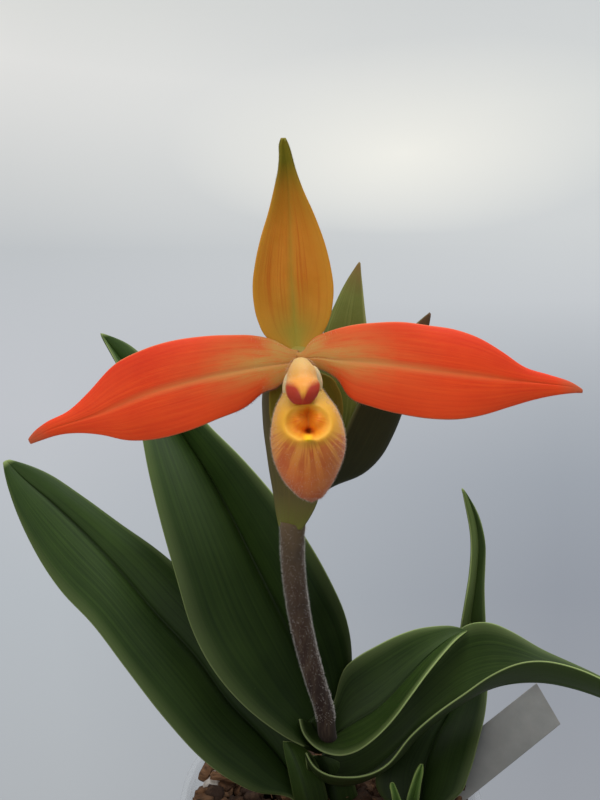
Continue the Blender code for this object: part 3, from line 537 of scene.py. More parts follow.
BRACT_UPPER = [
    ((344, 447, 175.8), (331, 440, 178.2), (344, 447, 180.6)),
    ((356, 430, 175), (326, 420, 178.4), (355, 430, 181.2)),
    ((364, 402, 174.8), (322.5, 390, 178.6), (362, 402, 181.4)),
    ((368, 368, 175.2), (322.5, 358, 178.8), (366, 368, 180.8)),
    ((368, 338, 175.8), (327, 330, 179), (366, 338, 180.6)),
    ((365, 310, 176.8), (337, 306, 179.2), (363.6, 310, 180.4)),
    ((362.6, 286, 178), (348, 283, 179.4), (361.6, 286, 180)),
    ((361, 270, 178.8), (356.4, 268, 179.4), (360.6, 270, 179.7)),
    ((360.6, 263, 179.2), (359.6, 262, 179.4), (360.4, 263, 179.5)),
]
PETAL_LEFT = [
    ((285, 370, 159.2), (287, 361.5, 158.9), (289, 353, 159.2)),
    ((277, 381, 158.9), (273, 364, 158), (272, 339.5, 158.7)),
    ((264, 392, 158.4), (258, 367.5, 157.2), (255, 335.6, 158)),
    ((246, 407, 157.6), (236, 371.5, 156.4), (232, 335, 157.2)),
    ((218, 419, 156.8), (208, 377.5, 155.7), (204, 336, 156.5)),
    ((188, 431, 156.3), (176, 385.5, 155.2), (170, 341, 156)),
    ((156, 439.2, 156), (146, 394.5, 155), (140, 351, 155.8)),
    ((127, 440.4, 156), (118, 406, 155), (112, 366.5, 155.8)),
    ((103, 435, 156.1), (95, 415.5, 155.3), (88, 392.5, 156)),
    ((80, 432.8, 156.4), (72, 422.5, 155.8), (68, 411.5, 156.3)),
    ((58, 434.5, 156.8), (51, 429.3, 156.4), (47, 422, 156.8)),
    ((41, 440, 157.3), (37, 436.5, 157), (34, 432, 157.3)),
    ((31, 444, 157.7), (29.2, 441, 157.5), (28.8, 439, 157.7)),
]
PETAL_RIGHT = [
    ((302, 353, 159.2), (305, 358, 158.9), (309, 364, 159.2)),
    ((311, 340, 158.8), (317, 357.5, 158.1), (321, 368.5, 158.8)),
    ((328, 331.5, 158.2), (335, 360, 157.3), (337, 378, 158.2)),
    ((350, 325.5, 157.5), (356, 361.5, 156.5), (349, 397, 157.5)),
    ((376, 322.7, 156.9), (380, 363.5, 155.9), (374, 407.5, 156.8)),
    ((402, 322, 156.5), (406, 366.8, 155.4), (402, 414.5, 156.4)),
    ((428, 325.2, 156.2), (433, 370.5, 155.1), (430, 418.8, 156.1)),
    ((455, 329.2, 156), (460, 374, 155), (459, 419.3, 156)),
    ((480, 338.3, 156), (485, 377, 155.1), (485, 414.7, 156)),
    ((503, 352.5, 156.2), (508, 380, 155.5), (510, 407, 156.2)),
    ((524, 367.3, 156.6), (530, 382.3, 156), (534, 399.8, 156.6)),
    ((549, 375.2, 157.1), (553, 384.8, 156.7), (557, 395, 157.1)),
    ((573, 383.5, 157.6), (574, 388, 157.4), (576, 393, 157.6)),
    ((582, 389.5, 157.9), (582.4, 391, 157.8), (582, 393, 157.9)),
]
DORSAL_SEPAL = [
    ((291, 352, 160.4), (297, 354, 160.6), (303, 351, 160.4)),
    ((277, 346, 160.3), (296, 341, 160.9), (315, 343, 160.3)),
    ((266, 337, 159.9), (295.3, 331, 160.8), (323, 333, 159.9)),
    ((257.6, 320.5, 159), (294.3, 317, 160.3), (330, 318, 159)),
    ((253.7, 304, 158), (293.2, 300, 159.5), (332.8, 303, 158)),
    ((252.5, 285, 156.9), (291.7, 282, 158.5), (333.6, 287, 156.9)),
    ((255.3, 262, 155.6), (291, 262, 157.2), (330.5, 265, 155.6)),
    ((260.6, 238, 154.3), (290.6, 238, 155.8), (324, 240, 154.3)),
    ((268.3, 212, 153), (290, 213, 154.4), (313.5, 213, 153)),
    ((274.4, 187, 151.9), (288.6, 188, 153), (302.5, 189, 151.9)),
    ((278.6, 168, 151), (286.7, 168, 151.9), (294.5, 167, 151)),
    ((279.7, 154, 150.5), (285, 154, 151.1), (290.9, 153, 150.5)),
    ((279.5, 144, 150.2), (283.7, 144, 150.6), (288, 144, 150.2)),
    ((281.5, 138.5, 150.1), (283.2, 138, 150.2), (285, 138.5, 150.1)),
]
SYNSEPAL = [
    ((306, 368.5, 161.2), (300.5, 371, 160.8), (295, 368.5, 161.2)),
    ((325, 374, 160.4), (301.5, 377, 161.6), (279, 374, 160.4)),
    ((338, 387, 160.2), (303, 392, 162.4), (270.5, 387, 160.2)),
    ((343, 404, 160), (305, 408, 162.8), (269, 404, 160)),
    ((341.5, 424, 159.6), (306, 428, 162.6), (271, 424, 159.6)),
    ((335, 445, 159), (306.5, 448, 161.6), (279, 445, 159)),
    ((324, 463, 158.4), (306.5, 466, 160.2), (290, 463, 158.4)),
    ((314, 476, 158), (306, 479, 158.8), (299, 476, 158)),
    ((309, 484, 157.8), (306, 486, 158), (303, 484, 157.8)),
]
POUCH_ROWS = [
    (289, 317, 379, 155.4, 1.6), (284.5, 322, 388, 154.4, 3.4),
    (281, 328, 397, 153.2, 4.8), (276.4, 335, 406, 152.2, 5.8),
    (273, 340.6, 418, 151.4, 6.6), (271, 344.4, 431, 151, 7.0),
    (271, 345.4, 443, 150.8, 7.1), (273, 343.6, 456, 150.8, 6.8),
    (277, 339.4, 468, 151, 6.2), (283.4, 334, 480, 151.4, 5.3),
    (292, 328, 490, 151.8, 4.1), (300, 322.4, 497.5, 152.3, 2.7),
]
SHIELD = [
    ((296.6, 362.5, 151.4), (300.5, 361.4, 150.9), (304.6, 362.3, 151.4)),
    ((292.6, 369, 151.1), (301, 368, 149.4), (309.9, 368.5, 151.1)),
    ((287.6, 380, 150.0), (302, 379, 147.8), (316.5, 378.5, 150.0)),
    ((286, 389, 148.4), (302.6, 388, 146.0), (319.4, 386.5, 148.4)),
    ((288.4, 397, 147.3), (302.6, 396, 145.5), (316.2, 395.5, 147.3)),
    ((294.5, 403, 146.5), (302, 403.6, 145.8), (309.5, 402.6, 146.5)),
]
POUCH_END = (311.5, 502.3, 152.8)
POUCH_TOP = (303, 374.5, 156.2)
MOUTH = (307.5, 423.0, 23.5, 17.5)       # centre u, v and half sizes
MOUTH_DEEP = 6.2


# ---------------------------------------------------------------- materials
def leaf_material(name, dark, light, under, margin, seed=0.0, gloss=0.46, tip_tone=None):
    m = Nodes(name)
    s, t, f = m.attr("across"), m.attr("along"), m.attr("face")
    a = m.math("ABSOLUTE", s)
    strip = m.pair(m.math("MULTIPLY", s, 26.0), m.math("MULTIPLY", t, 2.2), seed)
    fine = m.pair(m.math("MULTIPLY", s, 95.0), m.math("MULTIPLY", t, 3.5), seed + 3.0)
    veins = m.noise(strip, 1.0, 2.0, 0.5)
    lines = m.noise(fine, 1.0, 2.0, 0.5)
    cloud = m.noise(m.coords(), 45.0, 3.0, 0.6)
    tone = m.math("ADD", m.math("MULTIPLY", veins, 0.55), m.math("MULTIPLY", cloud, 0.45))
    body = m.mix(m.ramp(tone, [(0.36, 0.0), (0.64, 1.0)]), dark, light)
    # Painted shade: a darker band along the midrib, where the groove lies in shade.
    mid = m.ramp(a, [(0.0, 1.0), (0.045, 0.55), (0.11, 0.0)])
    body = m.mix(m.math("MULTIPLY", mid, 0.55), body, tuple(0.45 * c for c in dark))
    flush = m.ramp(a, [(0.80, 0.0), (0.985, 0.55)])
    body = m.mix(flush, body, tuple(0.55 * c + 0.45 * g for c, g in zip(light, margin)))
    low = m.mix(m.ramp(tone, [(0.3, 0.0), (0.7, 1.0)]), tuple(0.8 * c for c in under), under)
    keel = m.ramp(a, [(0.0, 1.0), (0.06, 0.0)])
    low = m.mix(m.math("MULTIPLY", keel, 0.6), low, tuple(1.5 * c for c in under))
    if tip_tone:
        pale = m.math("MULTIPLY", m.ramp(t, [(0.50, 0.0), (0.58, 1.0)]),
                      m.ramp(s, [(0.0, 1.0), (0.2, 0.15)]))
        body = m.mix(pale, body, tip_tone)
        low = m.mix(pale, low, tip_tone)
    col = m.mix(m.ramp(f, [(0.0, 0.0), (0.5, 1.0)]), low, body)
    edge = m.ramp(a, [(0.982, 0.0), (0.996, 1.0)])
    col = m.mix(edge, col, margin)
    tipc = m.ramp(t, [(0.985, 0.0), (1.0, 0.8)])
    col = m.mix(tipc, col, margin)
    speck = m.noise(m.coords(), 900.0, 2.0, 0.7)
    col = m.mix(m.ramp(speck, [(0.72, 0.0), (0.78, 0.25)]), col, tuple(1.8 * c for c in light))
    # Painted shade: the colour is multiplied darker towards the leaf base, where the crown's leaves shade
    # it.
    col = m.mix(1.0, col, m.ramp(t, [(0.0, (0.50, 0.50, 0.50)), (0.30, (0.68, 0.68, 0.66)),
                                     (0.65, (1.0, 1.0, 0.98)), (1.0, (1.18, 1.18, 1.12))]),
                "MULTIPLY")
    rough = m.math("ADD", gloss, m.math("MULTIPLY", cloud, 0.16))
    h = m.math("ADD", m.math("MULTIPLY", lines, 0.6), m.math("MULTIPLY", veins, 1.0))
    h = m.math("ADD", h, m.math("MULTIPLY", m.noise(m.coords(), 2200.0, 2.0), 0.25))
    m.bump(h, 0.16, 0.00016)
    return m.base(col, rough, sub=0.05, sub_r=(0.3, 0.8, 0.1), sub_s=0.0008, spec=0.13)


DARK, LIGHT = (0.0125, 0.0285, 0.0040), (0.0270, 0.0540, 0.0080)
UNDER, MARGIN = (0.034, 0.056, 0.013), (0.24, 0.30, 0.11)
mat_leaf = leaf_material("leaf_skin", DARK, LIGHT, UNDER, MARGIN)
mat_leaf_b = leaf_material("leaf_skin_inner", (0.0135, 0.029, 0.0045),
                           (0.032, 0.058, 0.0095), UNDER, MARGIN, seed=7.0)
mat_leaf_f = leaf_material("leaf_skin_back", DARK, LIGHT, UNDER, MARGIN, seed=13.0,
                           tip_tone=(0.085, 0.120, 0.034))
mat_shoot = leaf_material("shoot_skin", (0.035, 0.075, 0.012), (0.07, 0.13, 0.025),
                          (0.09, 0.15, 0.03), (0.25, 0.32, 0.10), seed=11.0)


def petal_material(name, flip):
    """flip is -1 where the upper edge is at across = -1."""
    m = Nodes(name)
    s, t = m.attr("across"), m.attr("along")
    a = m.math("ABSOLUTE", s)
    up = m.math("MULTIPLY_ADD", s, 0.5 * flip, 0.5)
    fan = m.pair(m.math("MULTIPLY", s, 16.0), m.math("MULTIPLY", t, 3.0), 2.0)
    fine = m.pair(m.math("MULTIPLY", s, 60.0), m.math("MULTIPLY", t, 5.0), 5.0)
    v1, v2 = m.noise(fan, 1.0, 3.0, 0.6), m.noise(fine, 1.0, 2.0, 0.6)
    cloud = m.noise(m.coords(), 120.0, 3.0, 0.6)
    red, orange = (0.78, 0.046, 0.010), (0.93, 0.088, 0.014)
    body = m.mix(m.ramp(m.math("ADD", m.math("MULTIPLY", v1, 0.6),
                               m.math("MULTIPLY", cloud, 0.4)), [(0.35, 0.0), (0.65, 1.0)]),
                 red, orange)
    body = m.mix(m.ramp(v2, [(0.5, 0.0), (0.75, 0.2)]), body, (0.95, 0.15, 0.030))
    top = m.ramp(up, [(0.62, 0.0), (0.97, 0.55)])
    body = m.mix(top, body, (0.62, 0.030, 0.009))
    lower = m.ramp(up, [(0.0, 0.35), (0.45, 0.0)])
    body = m.mix(lower, body, (0.94, 0.105, 0.020))
    glow = m.ramp(t, [(0.0, 1.0), (0.14, 1.0), (0.23, 0.62), (0.35, 0.15), (0.52, 0.0)])
    narrow = m.ramp(up, [(0.0, 0.0), (0.2, 0.25), (0.45, 1.0), (0.62, 1.0), (0.8, 0.5), (1.0, 0.2)])
    near = m.ramp(t, [(0.08, 1.0), (0.17, 0.0)])
    cream = m.math("MULTIPLY", glow, m.math("MAXIMUM", narrow, near), clamp=True)
    patch = m.noise(m.pair(m.math("MULTIPLY", s, 9.0), m.math("MULTIPLY", t, 9.0), 12.0), 1.0, 4.0, 0.7)
    cream = m.math("MULTIPLY", cream, m.ramp(patch, [(0.34, 0.55), (0.54, 1.0)]))
    body = m.mix(cream, body, (0.62, 0.32, 0.080))
    streak = m.math("MULTIPLY", m.ramp(a, [(0.0, 1.0), (0.06, 0.6), (0.14, 0.0)]),
                    m.ramp(t, [(0.06, 0.9), (0.35, 0.5), (0.75, 0.12), (1.0, 0.0)]))
    body = m.mix(streak, body, (0.66, 0.33, 0.10))
    purple = m.math("MULTIPLY", m.ramp(up, [(0.0, 1.0), (0.18, 0.0)]),
                    m.ramp(t, [(0.04, 0.0), (0.08, 0.30), (0.20, 0.12), (0.30, 0.0)]))
    body = m.mix(m.math("MULTIPLY", purple, m.ramp(v2, [(0.35, 0.2), (0.7, 1.0)])),
                 body, (0.30, 0.085, 0.075))
    tip = m.ramp(t, [(0.90, 0.0), (0.985, 0.7)])
    body = m.mix(tip, body, (0.42, 0.13, 0.055))
    rim = m.ramp(a, [(0.955, 0.0), (0.995, 0.65)])
    body = m.mix(rim, body, (0.60, 0.17, 0.06))
    h = m.math("ADD", m.math("MULTIPLY", v2, 0.7), m.math("MULTIPLY", v1, 0.9))
    h = m.math("ADD", h, m.math("MULTIPLY", m.noise(m.coords(), 2600.0, 2.0), 0.5))
    m.bump(h, 0.16, 0.00020)
    return m.base(body, 0.6, sub=0.15, sub_r=(1.0, 0.25, 0.1), sub_s=0.001,
                  sheen=0.03, spec=0.14)


mat_petal_l = petal_material("petal_velvet_left", 1.0)
mat_petal_r = petal_material("petal_velvet_right", -1.0)


def sepal_material(name, body_a, body_b, edge, green, green_base, vein):
    m = Nodes(name)
    s, t = m.attr("across"), m.attr("along")
    a = m.math("ABSOLUTE", s)
    cloud = m.noise(m.coords(), 110.0, 3.0, 0.6)
    body = m.mix(m.ramp(cloud, [(0.3, 0.0), (0.7, 1.0)]), body_a, body_b)
    fine = m.pair(m.math("MULTIPLY", s, 13.0), m.math("MULTIPLY", t, 1.4), 1.0)
    v = m.noise(fine, 1.0, 2.0, 0.5)
    body = m.mix(m.ramp(v, [(0.52, 0.0), (0.66, 0.55)]), body, vein)
    edgef = m.ramp(a, [(0.62, 0.0), (0.97, 0.75)])
    body = m.mix(edgef, body, edge)
    basef = m.ramp(t, [(0.0, 1.0), (0.10, 0.9), (0.22, 0.3), (0.36, 0.0)])
    body = m.mix(m.math("MULTIPLY", basef, m.ramp(a, [(0.2, 1.0), (0.9, 0.35)])),
                 body, green_base)
    central = m.math("MULTIPLY", m.ramp(a, [(0.0, 1.0), (0.07, 0.5), (0.16, 0.0)]),
                     m.ramp(t, [(0.1, 0.85), (0.45, 0.35), (0.7, 0.2)]))
    body = m.mix(central, body, green_base)
    tip = m.ramp(t, [(0.58, 0.0), (0.76, 0.35), (0.90, 1.0)])
    body = m.mix(tip, body, green)
    lines = m.noise(m.pair(m.math("MULTIPLY", s, 46.0), m.math("MULTIPLY", t, 4.0), 9.0),
                    1.0, 2.0, 0.6)
    h = m.math("ADD", m.math("MULTIPLY", lines, 0.8),
               m.math("MULTIPLY", m.noise(m.coords(), 2600.0, 2.0), 0.6))
    m.bump(h, 0.35, 0.00022)
    return m.base(body, 0.6, sub=0.15, sub_r=(1.0, 0.4, 0.1), sub_s=0.001,
                  sheen=0.03, spec=0.14)


mat_dorsal = sepal_material("dorsal_velvet", (0.64, 0.225, 0.014), (0.78, 0.300, 0.032),
                            (0.70, 0.33, 0.030), (0.200, 0.165, 0.008),
                            (0.40, 0.32, 0.040), (0.62, 0.140, 0.012))
mat_synsepal = sepal_material("synsepal_velvet", (0.155, 0.125, 0.012),
                              (0.24, 0.19, 0.020), (0.16, 0.13, 0.014),
                              (0.12, 0.11, 0.012), (0.22, 0.19, 0.02),
                              (0.20, 0.12, 0.012))


def bract_material(name, low, mid, tipc, vein, edge):
    m = Nodes(name)
    s, t = m.attr("across"), m.attr("along")
    a = m.math("ABSOLUTE", s)
    cloud = m.noise(m.coords(), 150.0, 3.0, 0.6)
    body = m.ramp(t, [(0.0, low), (0.22, mid), (0.8, mid), (1.0, tipc)])
    body = m.mix(m.ramp(cloud, [(0.3, 0.0), (0.75, 0.5)]), body, vein)
    lines = m.noise(m.pair(m.math("MULTIPLY", s, 22.0), m.math("MULTIPLY", t, 2.0), 4.0),
                    1.0, 2.0, 0.5)
    body = m.mix(m.ramp(lines, [(0.5, 0.0), (0.68, 0.6)]), body, vein)
    body = m.mix(m.ramp(a, [(0.95, 0.0), (0.99, 0.8)]), body, edge)
    h = m.math("ADD", lines, m.math("MULTIPLY", m.noise(m.coords(), 2400.0, 2.0), 0.35))
    m.bump(h, 0.3, 0.0002)
    return m.base(body, 0.52, sub=0.05, sub_r=(0.4, 0.7, 0.1), sub_s=0.0008, spec=0.18)


mat_bract_low = bract_material("bract_lower_skin", (0.150, 0.165, 0.022),
                               (0.080, 0.066, 0.018), (0.05, 0.045, 0.014),
                               (0.120, 0.090, 0.024), (0.15, 0.14, 0.04))
mat_bract_right = bract_material("bract_right_skin", (0.050, 0.058, 0.012),
                                 (0.024, 0.024, 0.0045), (0.14, 0.050, 0.02),
                                 (0.038, 0.038, 0.008), (0.12, 0.12, 0.04))
mat_bract_up = bract_material("bract_upper_skin", (0.06, 0.07, 0.012),
                              (0.115, 0.135, 0.020), (0.20, 0.080, 0.025),
                              (0.195, 0.215, 0.048), (0.30, 0.30, 0.11))


def stem_material():
    m = Nodes("stem_downy")
    t = m.attr("along")
    n1 = m.noise(m.scaled(m.coords(), (900.0, 900.0, 120.0)), 1.0, 3.0, 0.6)
    n2 = m.noise(m.coords(), 160.0, 3.0, 0.6)
    low, high = (0.034, 0.017, 0.012), (0.125, 0.085, 0.045)
    body = m.ramp(t, [(0.0, (0.018, 0.010, 0.008)), (0.35, low), (0.75, (0.075, 0.045, 0.028)),
                      (1.0, high)])
    body = m.mix(m.ramp(n1, [(0.4, 0.0), (0.7, 0.55)]), body, (0.125, 0.088, 0.058))
    body = m.mix(m.ramp(n2, [(0.45, 0.0), (0.7, 0.4)]), body, (0.030, 0.020, 0.016))
    m.bump(m.math("ADD", n1, n2), 0.5, 0.0003)
    return m.base(body, 0.75, sheen=0.06, spec=0.12)


mat_stem = stem_material()


def plain(name, a_col, b_col, scale, rough, bump_s=0.3, bump_d=0.0002, sheen=0.0,
          sub=0.0, spec=0.35, detail=4.0):
    m = Nodes(name)
    n = m.noise(m.coords(), scale, detail, 0.62)
    col = m.mix(m.ramp(n, [(0.32, 0.0), (0.68, 1.0)]), a_col, b_col)
    m.bump(m.math("ADD", n, m.math("MULTIPLY", m.noise(m.coords(), scale * 5, 3.0), 0.5)),
           bump_s, bump_d)
    return m.base(col, rough, sub=sub, sheen=sheen, spec=spec)


mat_ovary = plain("ovary_downy", (0.14, 0.10, 0.045), (0.22, 0.15, 0.07), 300.0, 0.7,
                  sheen=0.4)
mat_bud = plain("bud_skin", (0.11, 0.12, 0.03), (0.18, 0.17, 0.05), 300.0, 0.55)
mat_pumice = plain("pumice_grain", (0.42, 0.37, 0.33), (0.68, 0.62, 0.56), 700.0, 0.9,
                   0.8, 0.0006, spec=0.2)
mat_root = plain("root_skin", (0.20, 0.17, 0.10), (0.33, 0.29, 0.19), 350.0, 0.75,
                 0.4, 0.0003)
mat_rhizome = plain("rhizome_skin", (0.05, 0.038, 0.02), (0.10, 0.075, 0.035), 300.0, 0.8,
                    0.6, 0.0005)


def hair_material(name, col):
    m = Nodes(name)
    n = m.noise(m.coords(), 500.0, 2.0)
    c = m.mix(m.ramp(n, [(0.3, 0.0), (0.7, 1.0)]), col, tuple(min(1.0, 1.25 * q) for q in col))
    return m.base(c, 0.6, sub=0.0, spec=0.3)


mat_hair_pale = hair_material("down_pale", (0.62, 0.58, 0.54))
mat_hair_peach = hair_material("down_peach", (0.75, 0.56, 0.44))
mat_hair_plum = hair_material("down_plum", (0.36, 0.16, 0.14))
mat_hair_green = hair_material("down_green", (0.42, 0.38, 0.16))


def bark_material():
    m = Nodes("bark_fibre")
    tone = m.attr("tone")
    g = m.scaled(m.coords(), (420.0, 420.0, 1500.0))
    grain = m.noise(g, 1.0, 5.0, 0.65, 0.4)
    patch = m.noise(m.coords(), 260.0, 4.0, 0.6)
    col = m.ramp(tone, [(0.0, (0.026, 0.013, 0.008)), (0.35, (0.085, 0.040, 0.019)),
                        (0.7, (0.170, 0.082, 0.038)), (1.0, (0.30, 0.160, 0.080))])
    col = m.mix(m.ramp(grain, [(0.42, 0.0), (0.62, 0.75)]), col, (0.032, 0.016, 0.010))
    col = m.mix(m.ramp(patch, [(0.55, 0.0), (0.75, 0.5)]), col, (0.21, 0.12, 0.07))
    m.bump(m.math("ADD", grain, m.math("MULTIPLY", patch, 0.6)), 0.9, 0.0007)
    return m.base(col, 0.88, spec=0.25)


mat_bark = bark_material()
mat_core = plain("mix_core", (0.012, 0.007, 0.005), (0.035, 0.018, 0.011), 220.0, 0.95,
                 0.9, 0.001, spec=0.1)


def pot_material():
    m = Nodes("clear_moulded")
    n = m.noise(m.coords(), 60.0, 3.0, 0.5)
    lw = m.new("ShaderNodeLayerWeight")
    lw.inputs["Blend"].default_value = 0.35
    alpha = m.ramp(lw.outputs["Facing"], [(0.0, 0.05), (0.55, 0.10), (1.0, 0.42)])
    col = m.mix(m.ramp(n, [(0.3, 0.0), (0.7, 1.0)]), (0.66, 0.67, 0.69), (0.76, 0.77, 0.79))
    m.put(m.b, "Alpha", alpha)
    scr = m.noise(m.scaled(m.coords(), (300.0, 300.0, 900.0)), 1.0, 3.0, 0.6)
    m.bump(scr, 0.12, 0.0002)
    rough = m.math("ADD", 0.10, m.math("MULTIPLY", n, 0.18))
    return m.base(col, rough, spec=0.5)


mat_pot = pot_material()


def label_material():
    m = Nodes("label_matte")
    n = m.noise(m.coords(), 180.0, 4.0, 0.6)
    dirt = m.noise(m.coords(), 60.0, 4.0, 0.65)
    # Painted shade: the white card is given a dark grey colour, as it sits in the leaves' shade.
    col = m.mix(m.ramp(n, [(0.3, 0.0), (0.7, 1.0)]), (0.170, 0.170, 0.160), (0.215, 0.214, 0.200))
    col = m.mix(m.ramp(dirt, [(0.55, 0.0), (0.8, 0.4)]), col, (0.14, 0.13, 0.105))
    m.bump(n, 0.1, 0.0001)
    return m.base(col, 0.45, sub=0.05, sub_s=0.001, spec=0.4)


mat_label = label_material()


def pouch_material():
    m = Nodes("pouch_wax")
    q, mx, my = m.attr("mouth"), m.attr("mouth_x"), m.attr("mouth_y")
    down, ang = m.attr("down"), m.attr("ray")
    cloud = m.noise(m.coords(), 160.0, 3.0, 0.6)
    # outside, from the rim to the toe
    body = m.ramp(down, [(0.0, (0.45, 0.33, 0.06)), (0.22, (0.66, 0.38, 0.07)),
                         (0.50, (0.74, 0.32, 0.055)), (0.70, (0.72, 0.205, 0.038)),
                         (0.88, (0.60, 0.125, 0.030)), (1.0, (0.44, 0.080, 0.030))])
    rays = m.noise(m.pair(m.math("MULTIPLY", ang, 11.0), m.math("MULTIPLY", q, 0.8), 3.0),
                   1.0, 2.0, 0.55)
    where = m.math("MULTIPLY", m.ramp(q, [(0.30, 0.0), (0.42, 1.0), (0.85, 0.8), (1.0, 0.4)]),
                   m.ramp(down, [(0.38, 0.0), (0.52, 1.0), (0.92, 0.85), (1.0, 0.3)]))
    body = m.mix(m.math("MULTIPLY", where, m.ramp(rays, [(0.45, 0.0), (0.56, 0.85)])),
                 body, (0.50, 0.065, 0.018))
    body = m.mix(m.ramp(cloud, [(0.4, 0.0), (0.75, 0.3)]), body, (0.74, 0.40, 0.10))
    # q is scaled so that the rim lies at 1/3
    rim = m.ramp(q, [(0.25, 0.0), (0.33, 0.9), (0.39, 0.65), (0.52, 0.0)])
    body = m.mix(rim, body, (0.78, 0.38, 0.026))
    # inside: orange-red lobes, yellow towards the rim, and between them a dark slit that is painted shade
    # in the recess
    lobe = m.mix(m.ramp(m.noise(m.pair(m.math("MULTIPLY", ang, 9.0),
                                       m.math("MULTIPLY", q, 3.0), 8.0), 1.0, 2.0),
                        [(0.4, 0.0), (0.7, 0.8)]),
                 (0.80, 0.24, 0.008), (0.70, 0.105, 0.006))
    inner = m.mix(m.ramp(q, [(0.17, 0.0), (0.34, 1.0)]), lobe, (0.74, 0.33, 0.012))
    # Painted shade: this mask darkens the recessed slit between the lobes.
    slit = m.ramp(m.math("ABSOLUTE", m.math("SUBTRACT", mx, 0.04)),
                  [(0.0, 0.55), (0.05, 0.30), (0.13, 0.0)])
    slit = m.math("MULTIPLY", slit, m.ramp(my, [(0.0, 0.6), (0.50, 1.0), (0.62, 0.0)]))
    inner = m.mix(slit, inner, (0.42, 0.09, 0.006))
    body = m.mix(m.ramp(q, [(0.25, 1.0), (0.35, 0.0)]), body, inner)
    tooth = m.math("MULTIPLY", m.ramp(m.math("ABSOLUTE", m.math("SUBTRACT", mx, 0.02)),
                                      [(0.10, 1.0), (0.24, 0.0)]),
                   m.ramp(m.math("ABSOLUTE", m.math("SUBTRACT", my, 0.86)),
                          [(0.12, 1.0), (0.30, 0.0)]))
    body = m.mix(tooth, body, (0.90, 0.50, 0.010))
    h = m.math("ADD", m.math("MULTIPLY", rays, 0.5),
               m.math("MULTIPLY", m.noise(m.coords(), 2400.0, 2.0), 0.6))
    m.bump(h, 0.3, 0.0002)
    return m.base(body, 0.5, sub=0.15, sub_r=(1.0, 0.45, 0.15), sub_s=0.001,
                  sheen=0.03, spec=0.18)


mat_pouch = pouch_material()


def shield_material():
    m = Nodes("shield_wax")
    s, t = m.attr("across"), m.attr("along")
    body = m.ramp(t, [(0.0, (0.66, 0.43, 0.15)), (0.30, (0.74, 0.36, 0.08)),
                      (0.60, (0.78, 0.30, 0.04)), (1.0, (0.74, 0.34, 0.03))])
    a = m.math("ABSOLUTE", m.math("SUBTRACT", s, 0.02))
    band = m.math("ADD", t, m.math("MULTIPLY", a, 0.16))
    gap = m.math("MULTIPLY_ADD", t, -1.05, 1.00)
    side = m.math("DIVIDE", a, m.math("MAXIMUM", gap, 0.04))
    red = m.math("MULTIPLY", m.ramp(band, [(0.62, 0.0), (0.77, 1.0), (1.0, 1.0)]),
                 m.ramp(m.math("MULTIPLY", side, 0.25), [(0.10, 0.0), (0.34, 1.0)]))
    red = m.math("MULTIPLY", red, m.ramp(a, [(0.80, 1.0), (0.99, 0.2)]))
    foot = m.ramp(t, [(0.80, 0.0), (0.92, 0.95)])
    red = m.math("MAXIMUM", red, foot)
    pale = m.ramp(a, [(0.45, 0.0), (0.95, 0.65)])
    body = m.mix(pale, body, (0.72, 0.48, 0.19))
    body = m.mix(red, body, (0.40, 0.035, 0.014))
    n = m.noise(m.coords(), 1400.0, 2.0)
    m.bump(n, 0.3, 0.0002)
    return m.base(body, 0.45, sub=0.15, sub_r=(1.0, 0.4, 0.15), sub_s=0.0008, sheen=0.03,
                  spec=0.2)


mat_shield = shield_material()
mat_column = plain("column_wax", (0.62, 0.38, 0.12), (0.72, 0.45, 0.15), 400.0, 0.42,
                   sub=0.2)

# ---------------------------------------------------------------- leaves
blade("leaf_left_low_skin", LEAF_LEFT_LOW, mat_leaf, "leaf_left_low", "leaf_green",
      na=170, nb=57, belly=(1.0, 1.0), groove=0.42, keel=0.35, groove_w=0.04)
blade("leaf_left_tall_skin", LEAF_LEFT_TALL, mat_leaf, "leaf_left_tall", "leaf_green",
      na=170, nb=57, belly=(1.2, 1.2), groove=0.45, keel=0.4, groove_w=0.035)
blade("leaf_right_inner_skin", LEAF_RIGHT_INNER, mat_leaf_b, "leaf_right_inner",
      "leaf_green", na=130, nb=57, belly=(-1.0, -0.6), groove=0.3, keel=0.25)
blade("leaf_right_arching_skin", LEAF_RIGHT_ARCHING, mat_leaf_b, "leaf_right_arching",
      "leaf_green", na=200, nb=57, belly=(-0.8, -0.8), groove=0.35, keel=0.3)
blade("leaf_right_back_skin", LEAF_RIGHT_BACK, mat_leaf_f, "leaf_right_back",
      "leaf_green", na=160, nb=57, belly=(0.6, 0.6), groove=0.35, keel=0.3)
blade("shoot_short_skin", SHOOT_SHORT, mat_shoot, "shoot_leaf_short", "shoot_green",
      thick=0.8, na=50, nb=25, ease=3)
blade("shoot_long_skin", SHOOT_LONG, mat_shoot, "shoot_leaf_long", "shoot_green",
      thick=0.8, na=50, nb=25, ease=3)

# the sheaths that wrap the crown between the leaf bases
SHEATH_FRONT = [
    ((297, 814, 199.6), (311, 815, 196.6), (330, 812, 199.4)),
    ((293, 795, 199.4), (307, 796, 196.6), (327, 793, 199.2)),
    ((289.5, 777, 199.2), (302, 778, 196.8), (322, 775, 199.4)),
    ((286, 760, 199.2), (296.5, 762, 197.6), (315, 759, 199.8)),
    ((283.5, 747, 199.4), (290.5, 749, 198.6), (305, 748, 200.2)),
    ((283, 741, 199.6), (286.5, 741.5, 199.4), (292, 742, 200.0)),
]
SHEATH_BACK = [
    ((318, 816, 206.0), (338, 816, 203.0), (360, 814, 205.6)),
    ((315, 798, 206.0), (335, 798, 203.2), (358, 796, 205.8)),
    ((312, 780, 206.2), (331, 779, 203.8), (352, 779, 206.2)),
    ((310, 764, 206.6), (325, 763, 205.0), (342, 764, 206.8)),
    ((311, 756, 207.0), (318, 755, 206.4), (326, 757, 207.0)),
]
blade("sheath_front", SHEATH_FRONT, mat_leaf_b, None, "leaf_green", thick=0.8, na=60,
      nb=31, groove=0.2, keel=0.2)
